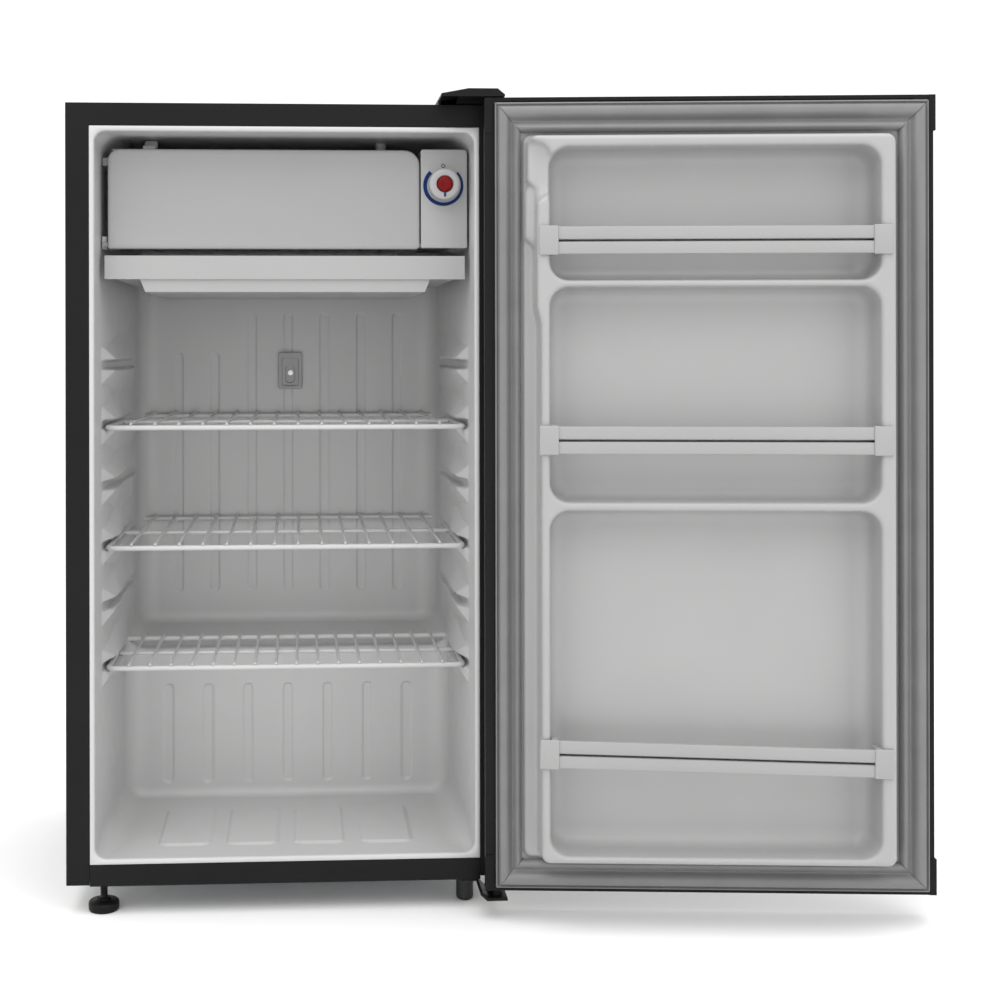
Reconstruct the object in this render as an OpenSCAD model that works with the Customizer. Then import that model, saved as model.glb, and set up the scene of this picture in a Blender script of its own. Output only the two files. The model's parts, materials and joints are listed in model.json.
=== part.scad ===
// Compact refrigerator with an ice box, its door standing open.
// Millimetres, +Z up, the front faces -Y, the floor is z = 0.

/* [Cabinet] */
// Width over the side panels
cabinet_width = 472; // [450:1:500]
// Height of the cabinet without its feet
body_height = 843; // [800:1:880]
// Depth of the cabinet from its front face to its back panel
body_depth = 378; // [350:1:400]
// Depth taken by the condenser behind the back panel
condenser_depth = 22; // [18:1:30]
// Height of the feet
foot_height = 31.5; // [28:0.5:36]
// Thickness of the sheet steel
sheet = 1; // [0.8:0.1:1.4]
// Width of the front flange on the sides and top
flange_width = 25; // [22:0.5:28]
// Height of the front crosspiece
crosspiece_height = 24; // [20:0.5:28]

/* [Liner] */
// Thickness of the liner
liner_wall = 2.2; // [1.6:0.1:3]
// How much narrower each side is at the back
liner_draft = 13; // [8:0.5:16]
// Inner depth above the compressor step
upper_depth = 341; // [320:1:352]
// Inner depth below the step
lower_depth = 229; // [215:1:240]
// Height of the step above the inner floor
step_height = 183; // [170:1:195]
// Distance between the shelf grooves
groove_pitch = 67.2; // [60:0.1:70]

/* [Shelves] */
// Width of a wire shelf
shelf_width = 399; // [380:0.5:400]
// Diameter of the frame wires
frame_wire = 5; // [4:0.1:6]
// Diameter of the thin wires
thin_wire = 2.6; // [2:0.1:3]
// Thin wires on each of the two upper shelves
wire_count = 14; // [11:1:19]

/* [Door] */
// How far the door stands open, in degrees
open_angle = 175.3; // [170:0.1:178]
// Thickness of the door body
door_thickness = 34.5; // [32:0.5:35]
// Gap between the cabinet and the shut door body
door_gap = 12.3; // [11.5:0.1:13]
// Distance of the hinge axis from the cabinet side
hinge_inset = 11.5; // [10:0.1:13]
// How far the racks stand into the cabinet from the hinge plane
dyke_reach = 52; // [46:0.5:54]

/* [Ice box and thermostat] */
// Width of the freezer flap
flap_width = 344.7; // [330:0.1:346]
// Height of the freezer flap
flap_height = 111; // [100:0.5:112]
// Radius of the thermostat knob
knob_radius = 17.2; // [14:0.1:18]

/* [Hidden] */
$fn = 48;
hw = cabinet_width / 2;
F = -(body_depth + condenser_depth) / 2;    // front face
B = F + body_depth;                         // outside of the back panel
zb = foot_height;                           // underside of the body
zt = zb + body_height;                      // top of the body
ox = hw - flange_width;                     // half width of the opening
oz0 = zb + crosspiece_height;
oz1 = zt - flange_width + 0.5;
lf = ox - 5;                                // half width of the cavity at the front
lb = lf - liner_draft;                      // and at the upper back wall
yu = F + upper_depth;
yl = F + lower_depth;
fz = oz0 + 1.5;                             // inner floor
cz = oz1 - 5;                               // inner ceiling
sz = fz + step_height;                      // step, front edge
deck_y = yl + 37;                           // riser of the compressor room
deck_z = sz - 35;
function lw(y) = lf + (lb - lf) * (y - F) / (yu - F);
level0 = oz1 - 261.2;                       // top shelf groove
function level(i) = level0 - i * groove_pitch;
pad_x = [-113.5, -38.2, 36.5, 112.3];       // middles of the raised floor pads
// freezer flap
fx0 = -lf + 10.2;
fx1 = fx0 + flap_width;
fz0 = oz1 - 130;
fz1 = fz0 + flap_height;
fy = F + 38;
pivot_y = fy + 8;
pivot_z = fz0 + 5;
// thermostat
kx = lf - 30.8;
kz = oz1 - 59.5;
// door, drawn shut and turned by open_angle
xh = hw - hinge_inset;
yh = F - 24.3;
yi = F - door_gap;
yo = yi - door_thickness;
dz0 = zb + 1.2;
dz1 = zt + 2;
yd = yh + dyke_reach;                       // crest of the door liner
cap = 4.3;
// pockets of the door liner: low z, high z
px = 170;
pockets = [[84.6, dz0 + 406], [dz0 + 419, dz0 + 638.5], [dz0 + 649.5, dz1 - 50.5]];
bars = [dz0 + 138.7, dz0 + 467.2, dz0 + 674.5];   // undersides of the rack bars
// middle of the open object's box, on plan
tip_x = xh - (hw + 2.2 + xh) * cos(open_angle) + (yh - yo - 12) * sin(open_angle);
near_y = yh - (181.5 + xh) * sin(open_angle) + (dyke_reach + 3) * cos(open_angle);
mid_x = (tip_x - hw) / 2;
mid_y = (near_y + B + 13) / 2;
// tray
tz = fz0 - 8;                               // top of the tray front
// machinery
cmx = 60;                                   // compressor
cmy = B - 52;
bolt_x = [cmx - 88, cmx + 88];
bolt_y = [deck_y + 22, B - 13];
grommet_z = zb + 20;
mount_z = grommet_z + 3;                    // top of the compressor's feet
stub_top = mount_z + 119;
elbow_z = stub_top + 14;
suction_x = cmx - 48;
suction_y = cmy - 10;
discharge_x = cmx - 38;
discharge_y = cmy + 26;
pipe_y = yu + 15;                           // plane of the pipes inside the back
evaporator_y = F + 334.2;
line_x = -52;
line_top = cz - 45;
capillary_x = line_x - 5.4;
drier_x = -110;
drier_z = zb + 50;
grid_y = B + 10;                            // condenser
run_x = 168;
run_gap = (zt - deck_z - 110) / 10;
function run_z(i) = deck_z + 50 + i * run_gap;
cord_x = -170;                              // cord entry
cord_z = zb + 9;
// levelling foot
lfx = -hw + 37.7;
lfy = F + 20;
// door gasket, drawn shut
gx0 = -hw + 6.7;
gx1 = hw - 10.6;
gz0 = dz0 + 5.2;
gz1 = dz1 - 6.2;

// ---- helpers ----
// box from one corner to the other
module bx(a, b) translate(a) cube([b[0] - a[0], b[1] - a[1], b[2] - a[2]]);
// rounded rectangle as a polygon; r = corner radii from the low-left corner, anticlockwise
function rr(x0, y0, x1, y1, r, n = 5) = concat(
  [for (i = [0:n]) let(a = 180 + 90 * i / n) [x0 + r[0] + r[0] * cos(a), y0 + r[0] + r[0] * sin(a)]],
  [for (i = [0:n]) let(a = 270 + 90 * i / n) [x1 - r[1] + r[1] * cos(a), y0 + r[1] + r[1] * sin(a)]],
  [for (i = [0:n]) let(a = 90 * i / n) [x1 - r[2] + r[2] * cos(a), y1 - r[2] + r[2] * sin(a)]],
  [for (i = [0:n]) let(a = 90 + 90 * i / n) [x0 + r[3] + r[3] * cos(a), y1 - r[3] + r[3] * sin(a)]]);
// XZ outline pushed along +Y from y0 to y1
module along_y(y0, y1) translate([0, y1, 0]) rotate([90, 0, 0]) linear_extrude(height = y1 - y0) children();
// YZ outline pushed along +X from x0 to x1
module along_x(x0, x1) translate([x0, 0, 0]) rotate([90, 0, 90]) linear_extrude(height = x1 - x0) children();
// cylinder along Y
module cy(x, z, y0, y1, r) translate([x, y1, z]) rotate([90, 0, 0]) cylinder(h = y1 - y0, r = r);
// cylinder along X
module cx(y, z, x0, x1, r) translate([x0, y, z]) rotate([0, 90, 0]) cylinder(h = x1 - x0, r = r);
// cylinder along Z
module cv(x, y, z0, z1, r) translate([x, y, z0]) cylinder(h = z1 - z0, r = r);
// moves the whole object so that the middle of its box stands on the origin
module row() translate([-mid_x, -mid_y, 0]) children();
// frame between two boxes in the XZ plane
module ring(x0, z0, x1, z1, w, y0, y1) difference() {
  bx([x0, y0, z0], [x1, y1, z1]);
  bx([x0 + w, y0 - 1, z0 + w], [x1 - w, y1 + 1, z1 - w]);
}
// the door's own place: shut coordinates turned about the hinge axis
module door_at() translate([xh, yh, 0]) rotate([0, 0, open_angle]) translate([-xh, -yh, 0]) children();
// tube through a list of points, each leg along one axis
module pipe_run(points, r) union() {
  for (p = points) translate(p) sphere(r = r);
  for (i = [0:len(points) - 2]) let(a = points[i], b = points[i + 1]) {
    if (a[0] != b[0]) cx(a[1], a[2], min(a[0], b[0]), max(a[0], b[0]), r);
    if (a[1] != b[1]) cy(a[0], a[2], min(a[1], b[1]), max(a[1], b[1]), r);
    if (a[2] != b[2]) cv(a[0], a[1], min(a[2], b[2]), max(a[2], b[2]), r);
  }
}

// ---- cabinet ----
module cabinet_shell() color([0.17, 0.17, 0.17]) row() difference() {
  bx([-hw, F, zb + 1.5], [hw, B, zt]);
  bx([-hw + sheet, F + sheet, zb - 5], [hw - sheet, B - sheet, zt - sheet]);
  bx([-ox, F - 5, zb - 5], [ox, F + 5, oz1]);
  bx([-hw + 13, B - 5, zb - 5], [hw - 13, B + 5, zt - 13]);
  // bottom hinge and crosspiece ends sit in this notch
  bx([hw - 26, F - 5, zb - 5], [hw + 5, F + 4, zb + 4]);
}
module front_crosspiece() color([0.19, 0.19, 0.19]) row() union() {
  along_x(-ox + 0.1, ox - 0.1) polygon([[F, zb], [F + 40, zb], [F + 40, zb + sheet],
    [F + sheet, zb + sheet], [F + sheet, oz0 - 2], [F + 9, oz0 - 2], [F + 9, oz0 - 1], [F, oz0 - 1]]);
  // tongues behind the side flanges
  for (s = [0, 1]) mirror([s, 0, 0]) bx([ox - 2, F + 1, zb + 5], [hw - 2, F + 2, oz0 - 2]);
}
module base_deck() color([0.62, 0.63, 0.64]) row() difference() {
  along_x(-hw + sheet, hw - sheet) polygon([[F + 40, zb], [deck_y, zb], [deck_y, deck_z - sheet],
    [B - sheet, deck_z - sheet], [B - sheet, deck_z + 12], [B - 2 * sheet, deck_z + 12],
    [B - 2 * sheet, deck_z], [deck_y - sheet, deck_z], [deck_y - sheet, zb + sheet], [F + 40, zb + sheet]]);
  cv(line_x, pipe_y, deck_z - 5, deck_z + 5, 5);
  cv(capillary_x, pipe_y, deck_z - 5, deck_z + 5, 2);
}
module compressor_base() color([0.2, 0.2, 0.21]) row() difference() {
  union() {
    bx([-hw + sheet, deck_y, zb], [hw - sheet, B - sheet, zb + 2]);
    bx([-hw + sheet, B - 3, zb], [hw - sheet, B - sheet, zb + 16]);
    for (s = [-1, 1]) let(x = s * (hw - 2))
      bx([x - 1, deck_y, zb], [x + 1, B - sheet, zb + 30]);
  }
  for (x = bolt_x, y = bolt_y) cv(x, y, zb - 1, zb + 5, 4.3);
  for (s = [-1, 1]) cv(s * (hw - 46), B - 28, zb - 1, zb + 5, 4.2);
  cy(cord_x, cord_z, B - 5, B + 5, 6.6);
}
// sheet behind the foam, with upright grooves that stiffen it
module back_panel() color([0.66, 0.67, 0.68]) row() difference() {
  bx([-hw + sheet, B - 2 * sheet, deck_z + 12], [hw - sheet, B - sheet, zt - sheet]);
  for (i = [0:5]) bx([-150 + i * 52, B - 1.5, deck_z + 40], [-140 + i * 52, B, zt - 60]);
}
// inside of the cabinet, o = wall added all round
module cavity(o) intersection() {
  let(front = o > 0 ? F + 1 : F - 1)
    translate([0, 0, fz - 20]) linear_extrude(height = cz - fz + 40)
    polygon([[-lf - o, front], [lf + o, front], [lb + o, yu + o], [-lb - o, yu + o]]);
  along_x(-lf - 10, lf + 10) polygon([[F - 2, fz - o], [yl + o, fz - o], [yl + o, sz - o],
    [yu + o, sz + 12 - o], [yu + o, cz + o], [F - 2, cz + o]]);
  along_y(F - 2, yu + 10) polygon(rr(-lf - o - 0.4, fz - o, lf + o + 0.4, cz + o, [12, 12, 12, 12]));
}
module shelf_grooves(o) for (i = [0:5]) let(h = shelf_width / 2 + 2, z = level(i))
  bx([-h - o, F + 48 - o, z - 2.8 - o], [h + o, (i < 5 ? yu : yl) - 0.4 + o, z + 8 + o]);
module inner_liner() color([0.86, 0.86, 0.85]) row() difference() {
  union() {
    cavity(liner_wall);
    shelf_grooves(liner_wall);
    ring(-ox + 0.1, oz0 + 0.1, ox - 0.1, oz1 - 0.1, 16, F, F + 2);
  }
  difference() {
    cavity(0);
    // wedges that guide the front of each shelf
    for (i = [0:5], s = [-1, 1]) let(z = level(i), wall = lf + 0.5, tip = lf - 9) along_y(F + 46, F + 108)
      polygon([[s * wall, z - 16], [s * wall, z + 20], [s * tip, z + 9], [s * wall, z + 8],
        [s * wall, z - 2.7], [s * tip, z - 2.8], [s * tip, z - 4]]);
    // ledges for the drip tray
    for (s = [-1, 1]) let(wall = lf + 0.5, lip = lf - 26) along_y(F + 44, F + 322)
      polygon([[s * wall, tz - 33], [s * wall, tz - 25.8], [s * lip, tz - 25.8], [s * lip, tz - 28.5]]);
    // raised floor pads
    for (x = pad_x) translate([0, 0, fz - 1]) linear_extrude(height = 2.6)
      polygon(rr(x - 28, F + 50, x + 28, F + 176, [8, 8, 8, 8]));
  }
  shelf_grooves(0);
  // shallow channels of the upper back wall
  for (i = [-3:3]) along_y(yu - 1, yu + 1)
    polygon(rr(i * 47.8 - 5.2, fz + 234, i * 47.8 + 5.2, i < -1 ? fz + 546 : fz + 598, [5, 5, 5, 5], 6));
  // slots of the lower back wall
  for (i = [-3:3]) along_y(yl - 1, yl + 1)
    polygon(rr(i * 49 - 5.3, fz + 17, i * 49 + 5.3, fz + 137.5, [5.2, 5.2, 5.2, 5.2], 6));
  // ways through for the suction line and the refrigerant capillary
  cy(line_x, line_top, yu - 5, yu + 10, 5.2);
  cy(capillary_x, line_top, yu - 5, yu + 10, 1.6);
  // pilot hole of the probe cover's screw
  cy(0, oz1 - 270.7, yu - 5, yu + 10, 1.6);
}
module cabinet_insulation() color([0.86, 0.80, 0.62]) row() difference() {
  bx([-hw + sheet, F + 10, zb + sheet], [hw - sheet, B - 2 * sheet, zt - sheet]);
  bx([-hw, deck_y - sheet, zb - 5], [hw, B + 5, deck_z]);
  bx([-hw, B - 2.5, zb], [hw, B, deck_z + 12.5]);
  difference() {
    cavity(liner_wall);
    bx([-500, -500, -500], [500, F + 5, 2000]);
  }
  shelf_grooves(liner_wall);
  bx([-ox - 2, F, zb - 5], [ox + 2, F + 41, oz0 - 22]);
  // way for the suction line
  bx([line_x - 8, yu, deck_z - 5], [line_x + 8, yu + 32, line_top + 7]);
  bx([line_x - 8, yu - 1, line_top - 8], [line_x + 8, yu + 32, line_top + 9]);
}
module evaporator_box() color([0.75, 0.77, 0.79]) row() difference() {
  along_y(F + 61, F + 330) polygon(rr(fx0 + 8, fz0 + 8, fx1 - 7, fz1 + 1, [6, 6, 6, 6]));
  along_y(F + 60, F + 328.5) polygon(rr(fx0 + 9.6, fz0 + 9.6, fx1 - 8.6, fz1 - 0.6, [5, 5, 5, 5]));
  // raised refrigerant channels are pressed between these grooves
  for (i = [0:8]) bx([fx0 + 40 + i * 32, F + 90, fz0 + 7], [fx0 + 56 + i * 32, F + 300, fz0 + 8.5]);
}
module evaporator_hangers() color([0.9, 0.9, 0.88]) row()
  for (x = [fx0 + 40, fx1 - 40], y = [F + 100, F + 290]) difference() {
    cv(x, y, fz1 + 1, cz, 6);
    cv(x, y, fz1, cz - 4, 2);
  }
module freezer_frame() color([0.9, 0.9, 0.88]) row() difference() {
  union() {
    difference() {
      along_y(F + 54.2, F + 61) polygon(rr(fx0 + 3, fz0 + 2, fx1 - 3, fz1 + 5, [6, 6, 8, 8]));
      along_y(F + 50, F + 64) polygon(rr(fx0 + 14, fz0 + 14, fx1 - 14, fz1 - 5, [5, 5, 5, 5]));
    }
    // left ear with the flap pivot
    bx([-lf + 2.6, F + 41, fz0 - 1], [-lf + 8.4, F + 60, fz0 + 13]);
    bx([-lf + 4, F + 54.2, fz0 + 2], [fx0 + 12, F + 60, fz0 + 13]);
    // catches
    bx([-lf + 2.4, F + 54, fz1 - 18], [fx0 + 12, F + 60, fz1 - 9]);
    bx([fx0 + 36, F + 54, fz1 + 3], [fx0 + 54, F + 60, cz - 0.2]);
  }
  cx(pivot_y, pivot_z, -lf, -lf + 9, 3.3);
}
module thermostat_housing() color([0.88, 0.88, 0.87]) row() difference() {
  union() {
    along_y(F + 38, F + 41) polygon([[fx1 + 1.3, fz0 + 1], [lf - 2.3, fz0 + 1], [lf - 2.3, fz1 - 13],
      [lf - 11, fz1], [fx1 + 1.3, fz1]]);
    along_y(F + 40, F + 125) polygon([[fx1 + 1.3, fz0 + 1], [lf - 5.4, fz0 + 1], [lf - 5.4, fz1 - 15],
      [lf - 13, fz1], [fx1 + 1.3, fz1]]);
  }
  along_y(F + 40.5, F + 130) polygon([[fx1 + 3.3, fz0 + 3], [lf - 7.4, fz0 + 3], [lf - 7.4, fz1 - 16],
    [lf - 14, fz1 - 2], [fx1 + 3.3, fz1 - 2]]);
  cy(kx, kz, F + 30, F + 50, 4);
  cx(pivot_y, pivot_z, fx1, fx1 + 8, 3.3);
  cy(kx, fz0 + 26, F + 30, F + 50, 2);
  cx(F + 90, kz - 24, fx1 - 2, fx1 + 6, 2.4);
}
module thermostat_body() color([0.7, 0.71, 0.72]) row() difference() {
  union() {
    bx([kx - 16, F + 52, kz - 22], [kx + 16, F + 88, kz + 22]);
    cy(kx, kz, F + 31, F + 53, 3.1);
    cy(kx, kz, F + 40.5, F + 53, 6);
  }
  cy(kx, kz, F + 20, F + 50, 2.1);
}
module housing_screws() color([0.75, 0.75, 0.76]) row() {
  cy(kx, fz0 + 26, F + 36.2, F + 37.9, 3.6);
  cy(kx, fz0 + 26, F + 37.5, F + 52, 1.8);
}
module capillary_tube() color([0.72, 0.45, 0.28]) row() union() {
  cy(kx - 8, kz - 24, F + 86, F + 90, 1.6);
  cv(kx - 8, F + 70, kz - 24, kz - 22, 1.6);
  cy(kx - 8, kz - 24, F + 70, F + 90, 1.6);
  cx(F + 90, kz - 24, fx1 - 6.9, kx - 8, 1.6);
  translate([kx - 8, F + 90, kz - 24]) sphere(r = 1.6);
  translate([kx - 8, F + 70, kz - 24]) sphere(r = 1.6);
}
module dial_markings() color([0.11, 0.25, 0.48]) row() difference() {
  cy(kx, kz, F + 37.6, F + 38, 22.5);
  cy(kx + 1.3, kz, F + 37, F + 39, 19.5);
  along_y(F + 37, F + 39) polygon([[kx, kz], [kx + 40 * cos(44), kz + 40 * sin(44)], [kx, kz + 60],
    [kx + 40 * cos(131.6), kz + 40 * sin(131.6)]]);
}
module probe_cover() color([0.88, 0.88, 0.87]) row() difference() {
  along_y(yu - 5, yu) polygon(rr(-13, oz1 - 294, 18.4, oz1 - 246, [3, 3, 3, 3]));
  along_y(yu - 6, yu - 3.4) polygon(rr(-8, oz1 - 290, 13.4, oz1 - 254, [2, 2, 2, 2]));
  along_y(yu - 6, yu - 2) polygon(rr(-3.6, oz1 - 286, 8.4, oz1 - 263, [2, 2, 2, 2]));
  cy(2.9, oz1 - 273, yu - 6, yu + 1, 1.7);
}
module probe_screw() color([0.75, 0.75, 0.76]) row() {
  cy(2.9, oz1 - 273, yu - 3.8, yu - 2, 3.4);
  cy(2.9, oz1 - 273, yu - 2.2, yu - 0.2, 1.5);
}

// ---- machinery ----
module compressor() color([0.1, 0.1, 0.1]) row() union() {
  translate([cmx, cmy, mount_z]) rotate_extrude() polygon([[0, 0], [34, 0], [46, 5], [52, 14], [54, 28],
    [54, 56], [57, 57], [57, 61], [53.5, 62], [53, 92], [50, 106], [42, 117], [28, 124], [0, 127]]);
  // terminal block
  bx([cmx - 57.2, cmy - 20, mount_z + 35], [cmx - 48, cmy + 20, mount_z + 73]);
  cv(discharge_x, discharge_y, mount_z + 77, stub_top, 4);
  cv(suction_x, suction_y, mount_z + 57, stub_top, 3.4);
}
module compressor_feet() color([0.12, 0.12, 0.12]) row() difference() {
  for (y = bolt_y) bx([cmx - 100, y - 11, grommet_z], [cmx + 100, y + 11, mount_z]);
  for (x = bolt_x, y = bolt_y) cv(x, y, zb + 10, zb + 30, 5.2);
}
module grommets() color([0.06, 0.06, 0.06]) row()
  for (x = bolt_x, y = bolt_y) difference() {
    cv(x, y, zb + 2, grommet_z, 9);
    cv(x, y, zb + 1, grommet_z + 1, 4.4);
  }
module compressor_bolts() color([0.72, 0.72, 0.73]) row()
  for (x = bolt_x, y = bolt_y) union() {
    cv(x, y, zb - 3, mount_z + 2, 4);
    cv(x, y, zb - 4, zb, 7);
    translate([x, y, mount_z + 0.1]) cylinder(h = 5, r = 7.5, $fn = 6);
  }
module start_relay() color([0.08, 0.08, 0.08]) row() difference() {
  bx([cmx - 68, cmy - 26, mount_z + 29], [cmx - 57.2, cmy + 26, mount_z + 79]);
  for (i = [0:5]) let(z = mount_z + 37 + i * 6)
    bx([cmx - 70, cmy - 20, z], [cmx - 67, cmy + 20, z + 2.5]);
}
module filter_drier() color([0.72, 0.45, 0.28]) row() translate([drier_x, pipe_y, drier_z])
  rotate_extrude() polygon([[0, -8], [2.4, -8], [2.4, 0], [8, 8], [8, 92], [2.4, 100], [2.4, 110],
    [0, 110]]);
module suction_line() color([0.72, 0.45, 0.28]) row() pipe_run([[line_x, evaporator_y, line_top],
  [line_x, pipe_y, line_top], [line_x, pipe_y, elbow_z], [suction_x, pipe_y, elbow_z],
  [suction_x, suction_y, elbow_z], [suction_x, suction_y, stub_top + 4]], 4);
module refrigerant_capillary() color([0.72, 0.45, 0.28]) row() pipe_run([
  [capillary_x, evaporator_y - 2.8, line_top], [capillary_x, pipe_y, line_top],
  [capillary_x, pipe_y, drier_z - 16], [drier_x, pipe_y, drier_z - 16],
  [drier_x, pipe_y, drier_z - 9.3]], 1.2);
module discharge_line() color([0.72, 0.45, 0.28]) row() pipe_run([[discharge_x, discharge_y, stub_top + 2.4],
  [discharge_x, discharge_y, elbow_z - 4], [discharge_x, grid_y, elbow_z - 4], [run_x, grid_y, elbow_z - 4],
  [run_x, grid_y, deck_z + 40]], 2.4);
module liquid_line() color([0.72, 0.45, 0.28]) row() pipe_run([[-run_x - 2.4, grid_y, run_z(10)],
  [-hw + 30, grid_y, run_z(10)], [-hw + 30, grid_y, deck_z - 8], [-hw + 30, pipe_y, deck_z - 8],
  [drier_x, pipe_y, deck_z - 8], [drier_x, pipe_y, drier_z + 112.4]], 2.4);
// serpentine tube with straight wires welded on it
module condenser() color([0.09, 0.09, 0.09]) row() union() {
  for (i = [0:10]) cx(grid_y, run_z(i), -run_x, run_x, 2.4);
  for (i = [0:9]) let(side = i % 2 == 0 ? -1 : 1) translate([side * run_x, grid_y, run_z(i + 0.5)])
    rotate([90, side * 90, 0]) rotate_extrude(angle = 180) translate([run_gap / 2, 0]) circle(r = 2.4);
  cv(run_x, grid_y, deck_z + 42.4, run_z(0), 2.4);
  for (i = [0:17]) cv(-161.5 + i * 19, grid_y + 2.2, deck_z + 34, zt - 44, 0.8);
}
// clips that hold two runs of the condenser off the back panel
module condenser_brackets() color([0.12, 0.12, 0.12]) row()
  for (x = [-130, 130], i = [1, 8]) difference() {
    bx([x - 8, B - sheet, run_z(i) - 8], [x + 8, grid_y, run_z(i) + 8]);
    cx(grid_y, run_z(i), x - 10, x + 10, 2.4);
  }
module cord_gland() color([0.06, 0.06, 0.06]) row() difference() {
  union() {
    cy(cord_x, cord_z, B - 5, B + 4, 6.4);
    cy(cord_x, cord_z, B - sheet, B + 1.5, 9);
    cy(cord_x, cord_z, B - 6, B - 3, 6.9);
  }
  cy(cord_x, cord_z, B - 8, B + 6, 4);
}

// ---- hinges and feet ----
module top_hinge_bracket() color([0.2, 0.2, 0.2]) row() union() {
  difference() {
    along_x(hw - 50, hw - 8) polygon([[F - 34, zt + 3.6], [F - 3, zt + 3.6], [F + 3, zt], [F + 52, zt],
      [F + 52, zt + 2.5], [F + 4, zt + 2.5], [F - 2, zt + 6.1], [F - 34, zt + 6.1]]);
    for (x = [hw - 42, hw - 14]) cv(x, F + 36, zt - 2, zt + 5, 2.5);
  }
  cv(xh, yh, zt - 9, zt + 7.4, 3.5);
}
module top_hinge_screws() color([0.72, 0.72, 0.73]) row()
  for (x = [hw - 42, hw - 14]) union() {
    cv(x, F + 36, zt + 2.5, zt + 4.6, 4.4);
    cv(x, F + 36, zt, zt + 3, 2.4);
  }
module top_hinge_cover() color([0.09, 0.09, 0.09]) row() difference() {
  along_y(F - 38, F + 62) polygon([[hw - 70, zt], [hw - 70, zt + 6.1], [hw - 41, zt + 11.6],
    [hw - 10, zt + 11.6], [hw - 2, zt + 5], [hw - 2, zt]]);
  along_y(F - 35.5, F + 59.5) polygon([[hw - 67, zt - 1], [hw - 67, zt + 4.2], [hw - 41, zt + 9.4],
    [hw - 11, zt + 9.4], [hw - 4, zt + 4], [hw - 4, zt - 1]]);
  bx([hw - 80, F - 50, zt - 3], [hw + 10, F - 0.2, zt + 2.9]);
}
module lower_hinge_bracket() color([0.12, 0.12, 0.12]) row() union() {
  difference() {
    along_y(F - 38, F + 52) polygon([[hw - 46, zb], [hw - 28.5, zb], [hw - 20.5, zb - 6.7], [hw, zb - 6.7],
      [hw, zb - 9.5], [hw - 22.5, zb - 9.5], [hw - 30.7, zb - 3], [hw - 46, zb - 3]]);
    bx([hw - 29, F + 1, zb - 20], [hw + 5, F + 60, zb + 5]);
    cv(hw - 39, F + 30, zb - 10, zb + 5, 4.2);
    for (y = [F + 12, F + 44]) cv(hw - 39, y, zb - 10, zb + 5, 2.5);
  }
  cv(xh, yh, zb - 8, zb + 12, 3.5);
  cv(xh, yh, zb - 7, zb + 0.9, 6.5);
}
module lower_hinge_screws() color([0.72, 0.72, 0.73]) row()
  for (y = [F + 12, F + 44]) union() {
    cv(hw - 39, y, zb - 5, zb - 3, 4.2);
    cv(hw - 39, y, zb - 3.5, zb, 2.4);
  }
module front_right_foot() color([0.05, 0.05, 0.05]) row() union() {
  translate([hw - 39, F + 30, 0]) rotate_extrude()
    polygon([[0, 0], [6.5, 0], [9, 1.6], [9.5, 4], [9.5, zb - 3], [0, zb - 3]]);
  cv(hw - 39, F + 30, zb - 4, zb, 4);
}
module rear_feet() color([0.05, 0.05, 0.05]) row() for (s = [-1, 1]) union() {
  translate([s * (hw - 46), B - 28, 0]) rotate_extrude() polygon([[0, 0], [10, 0], [12.5, 2], [12.5, zb - 6],
    [9, zb], [0, zb]]);
  cv(s * (hw - 46), B - 28, zb - 1, zb + 6, 4);
}
module foot_stud() color([0.55, 0.55, 0.56]) row() union() {
  cv(lfx, lfy, 6, zb - 0.3, 3.6);
  for (i = [0:5]) translate([lfx, lfy, 15.5 + i * 2.4])
    rotate_extrude() polygon([[3, -0.9], [4, 0], [3, 0.9]]);
}
module foot_pad() color([0.05, 0.05, 0.05]) row() difference() {
  union() {
    translate([lfx, lfy, 0]) rotate_extrude()
      polygon([[0, 0], [14, 0], [17, 1.6], [18, 4], [17.4, 7.2], [15, 9.2], [9, 9.8], [0, 9.8]]);
    translate([lfx, lfy, 9]) cylinder(h = 4.5, r = 7.5, $fn = 6);
  }
  cv(lfx, lfy, 6, 20, 3.6);
}

// ---- door, in its own place ----
function door_outline(o) = let(r = 10 - o) concat([[-hw + o, yi - o]],
  [for (i = [0:6]) let(a = 180 + 15 * i) [-hw + o + r + r * cos(a), yo + o + r + r * sin(a)]],
  [for (i = [0:6]) let(a = 270 + 15 * i) [hw - o - r + r * cos(a), yo + o + r + r * sin(a)]],
  [[hw - o, yi - o]]);
module door_block(o, z0, z1) translate([0, 0, z0]) linear_extrude(height = z1 - z0) polygon(door_outline(o));
module door_panel() color([0.17, 0.17, 0.17]) row() door_at() difference() {
  door_block(0, dz0 + cap, dz1 - cap);
  door_block(sheet, dz0 - 5, dz1 + 5);
  bx([-hw + 20, yi - 5, dz0 - 5], [hw - 20, yi + 5, dz1 + 5]);
  bx([-hw + 10, yo - 5, 500], [-hw + 46, yo + 5, 640]);
}
module door_cap(z0, z1, zi) difference() {
  union() {
    door_block(0, z0, z1);
    // ends wrap over the panel
    bx([-hw - 2.2, yo + 12, min(z0, zi)], [-hw, yi + 1, max(z1, zi)]);
    bx([-hw - 2.2, yi, min(z0, zi)], [-hw + 5, yi + 1, max(z1, zi)]);
    bx([hw - 8.5, yi, min(z0, zi)], [hw, yi + 1, max(z1, zi)]);
    // plug inside the panel
    difference() {
      door_block(sheet + 0.2, min(z0, z0 + (zi > z0 ? 0 : -9)), max(z1, z1 + (zi > z0 ? 9 : 0)));
      door_block(sheet + 2.2, z0 - 20, z1 + 20);
      bx([-500, yi - 2.2 - sheet, z0 - 50], [500, yi + 9, zi > z0 ? z0 - 40 : z0]);
    }
  }
  cv(xh, yh, z0 - 30, z1 + 30, 6);
}
module door_top_cap() color([0.08, 0.08, 0.08]) row() door_at() difference() {
  door_cap(dz1 - cap, dz1, dz1 - 38);
  bx([-hw + 6, yi - 6, dz1 - 60], [hw - 6, yi - 0.05, dz1 - cap]);
}
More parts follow.
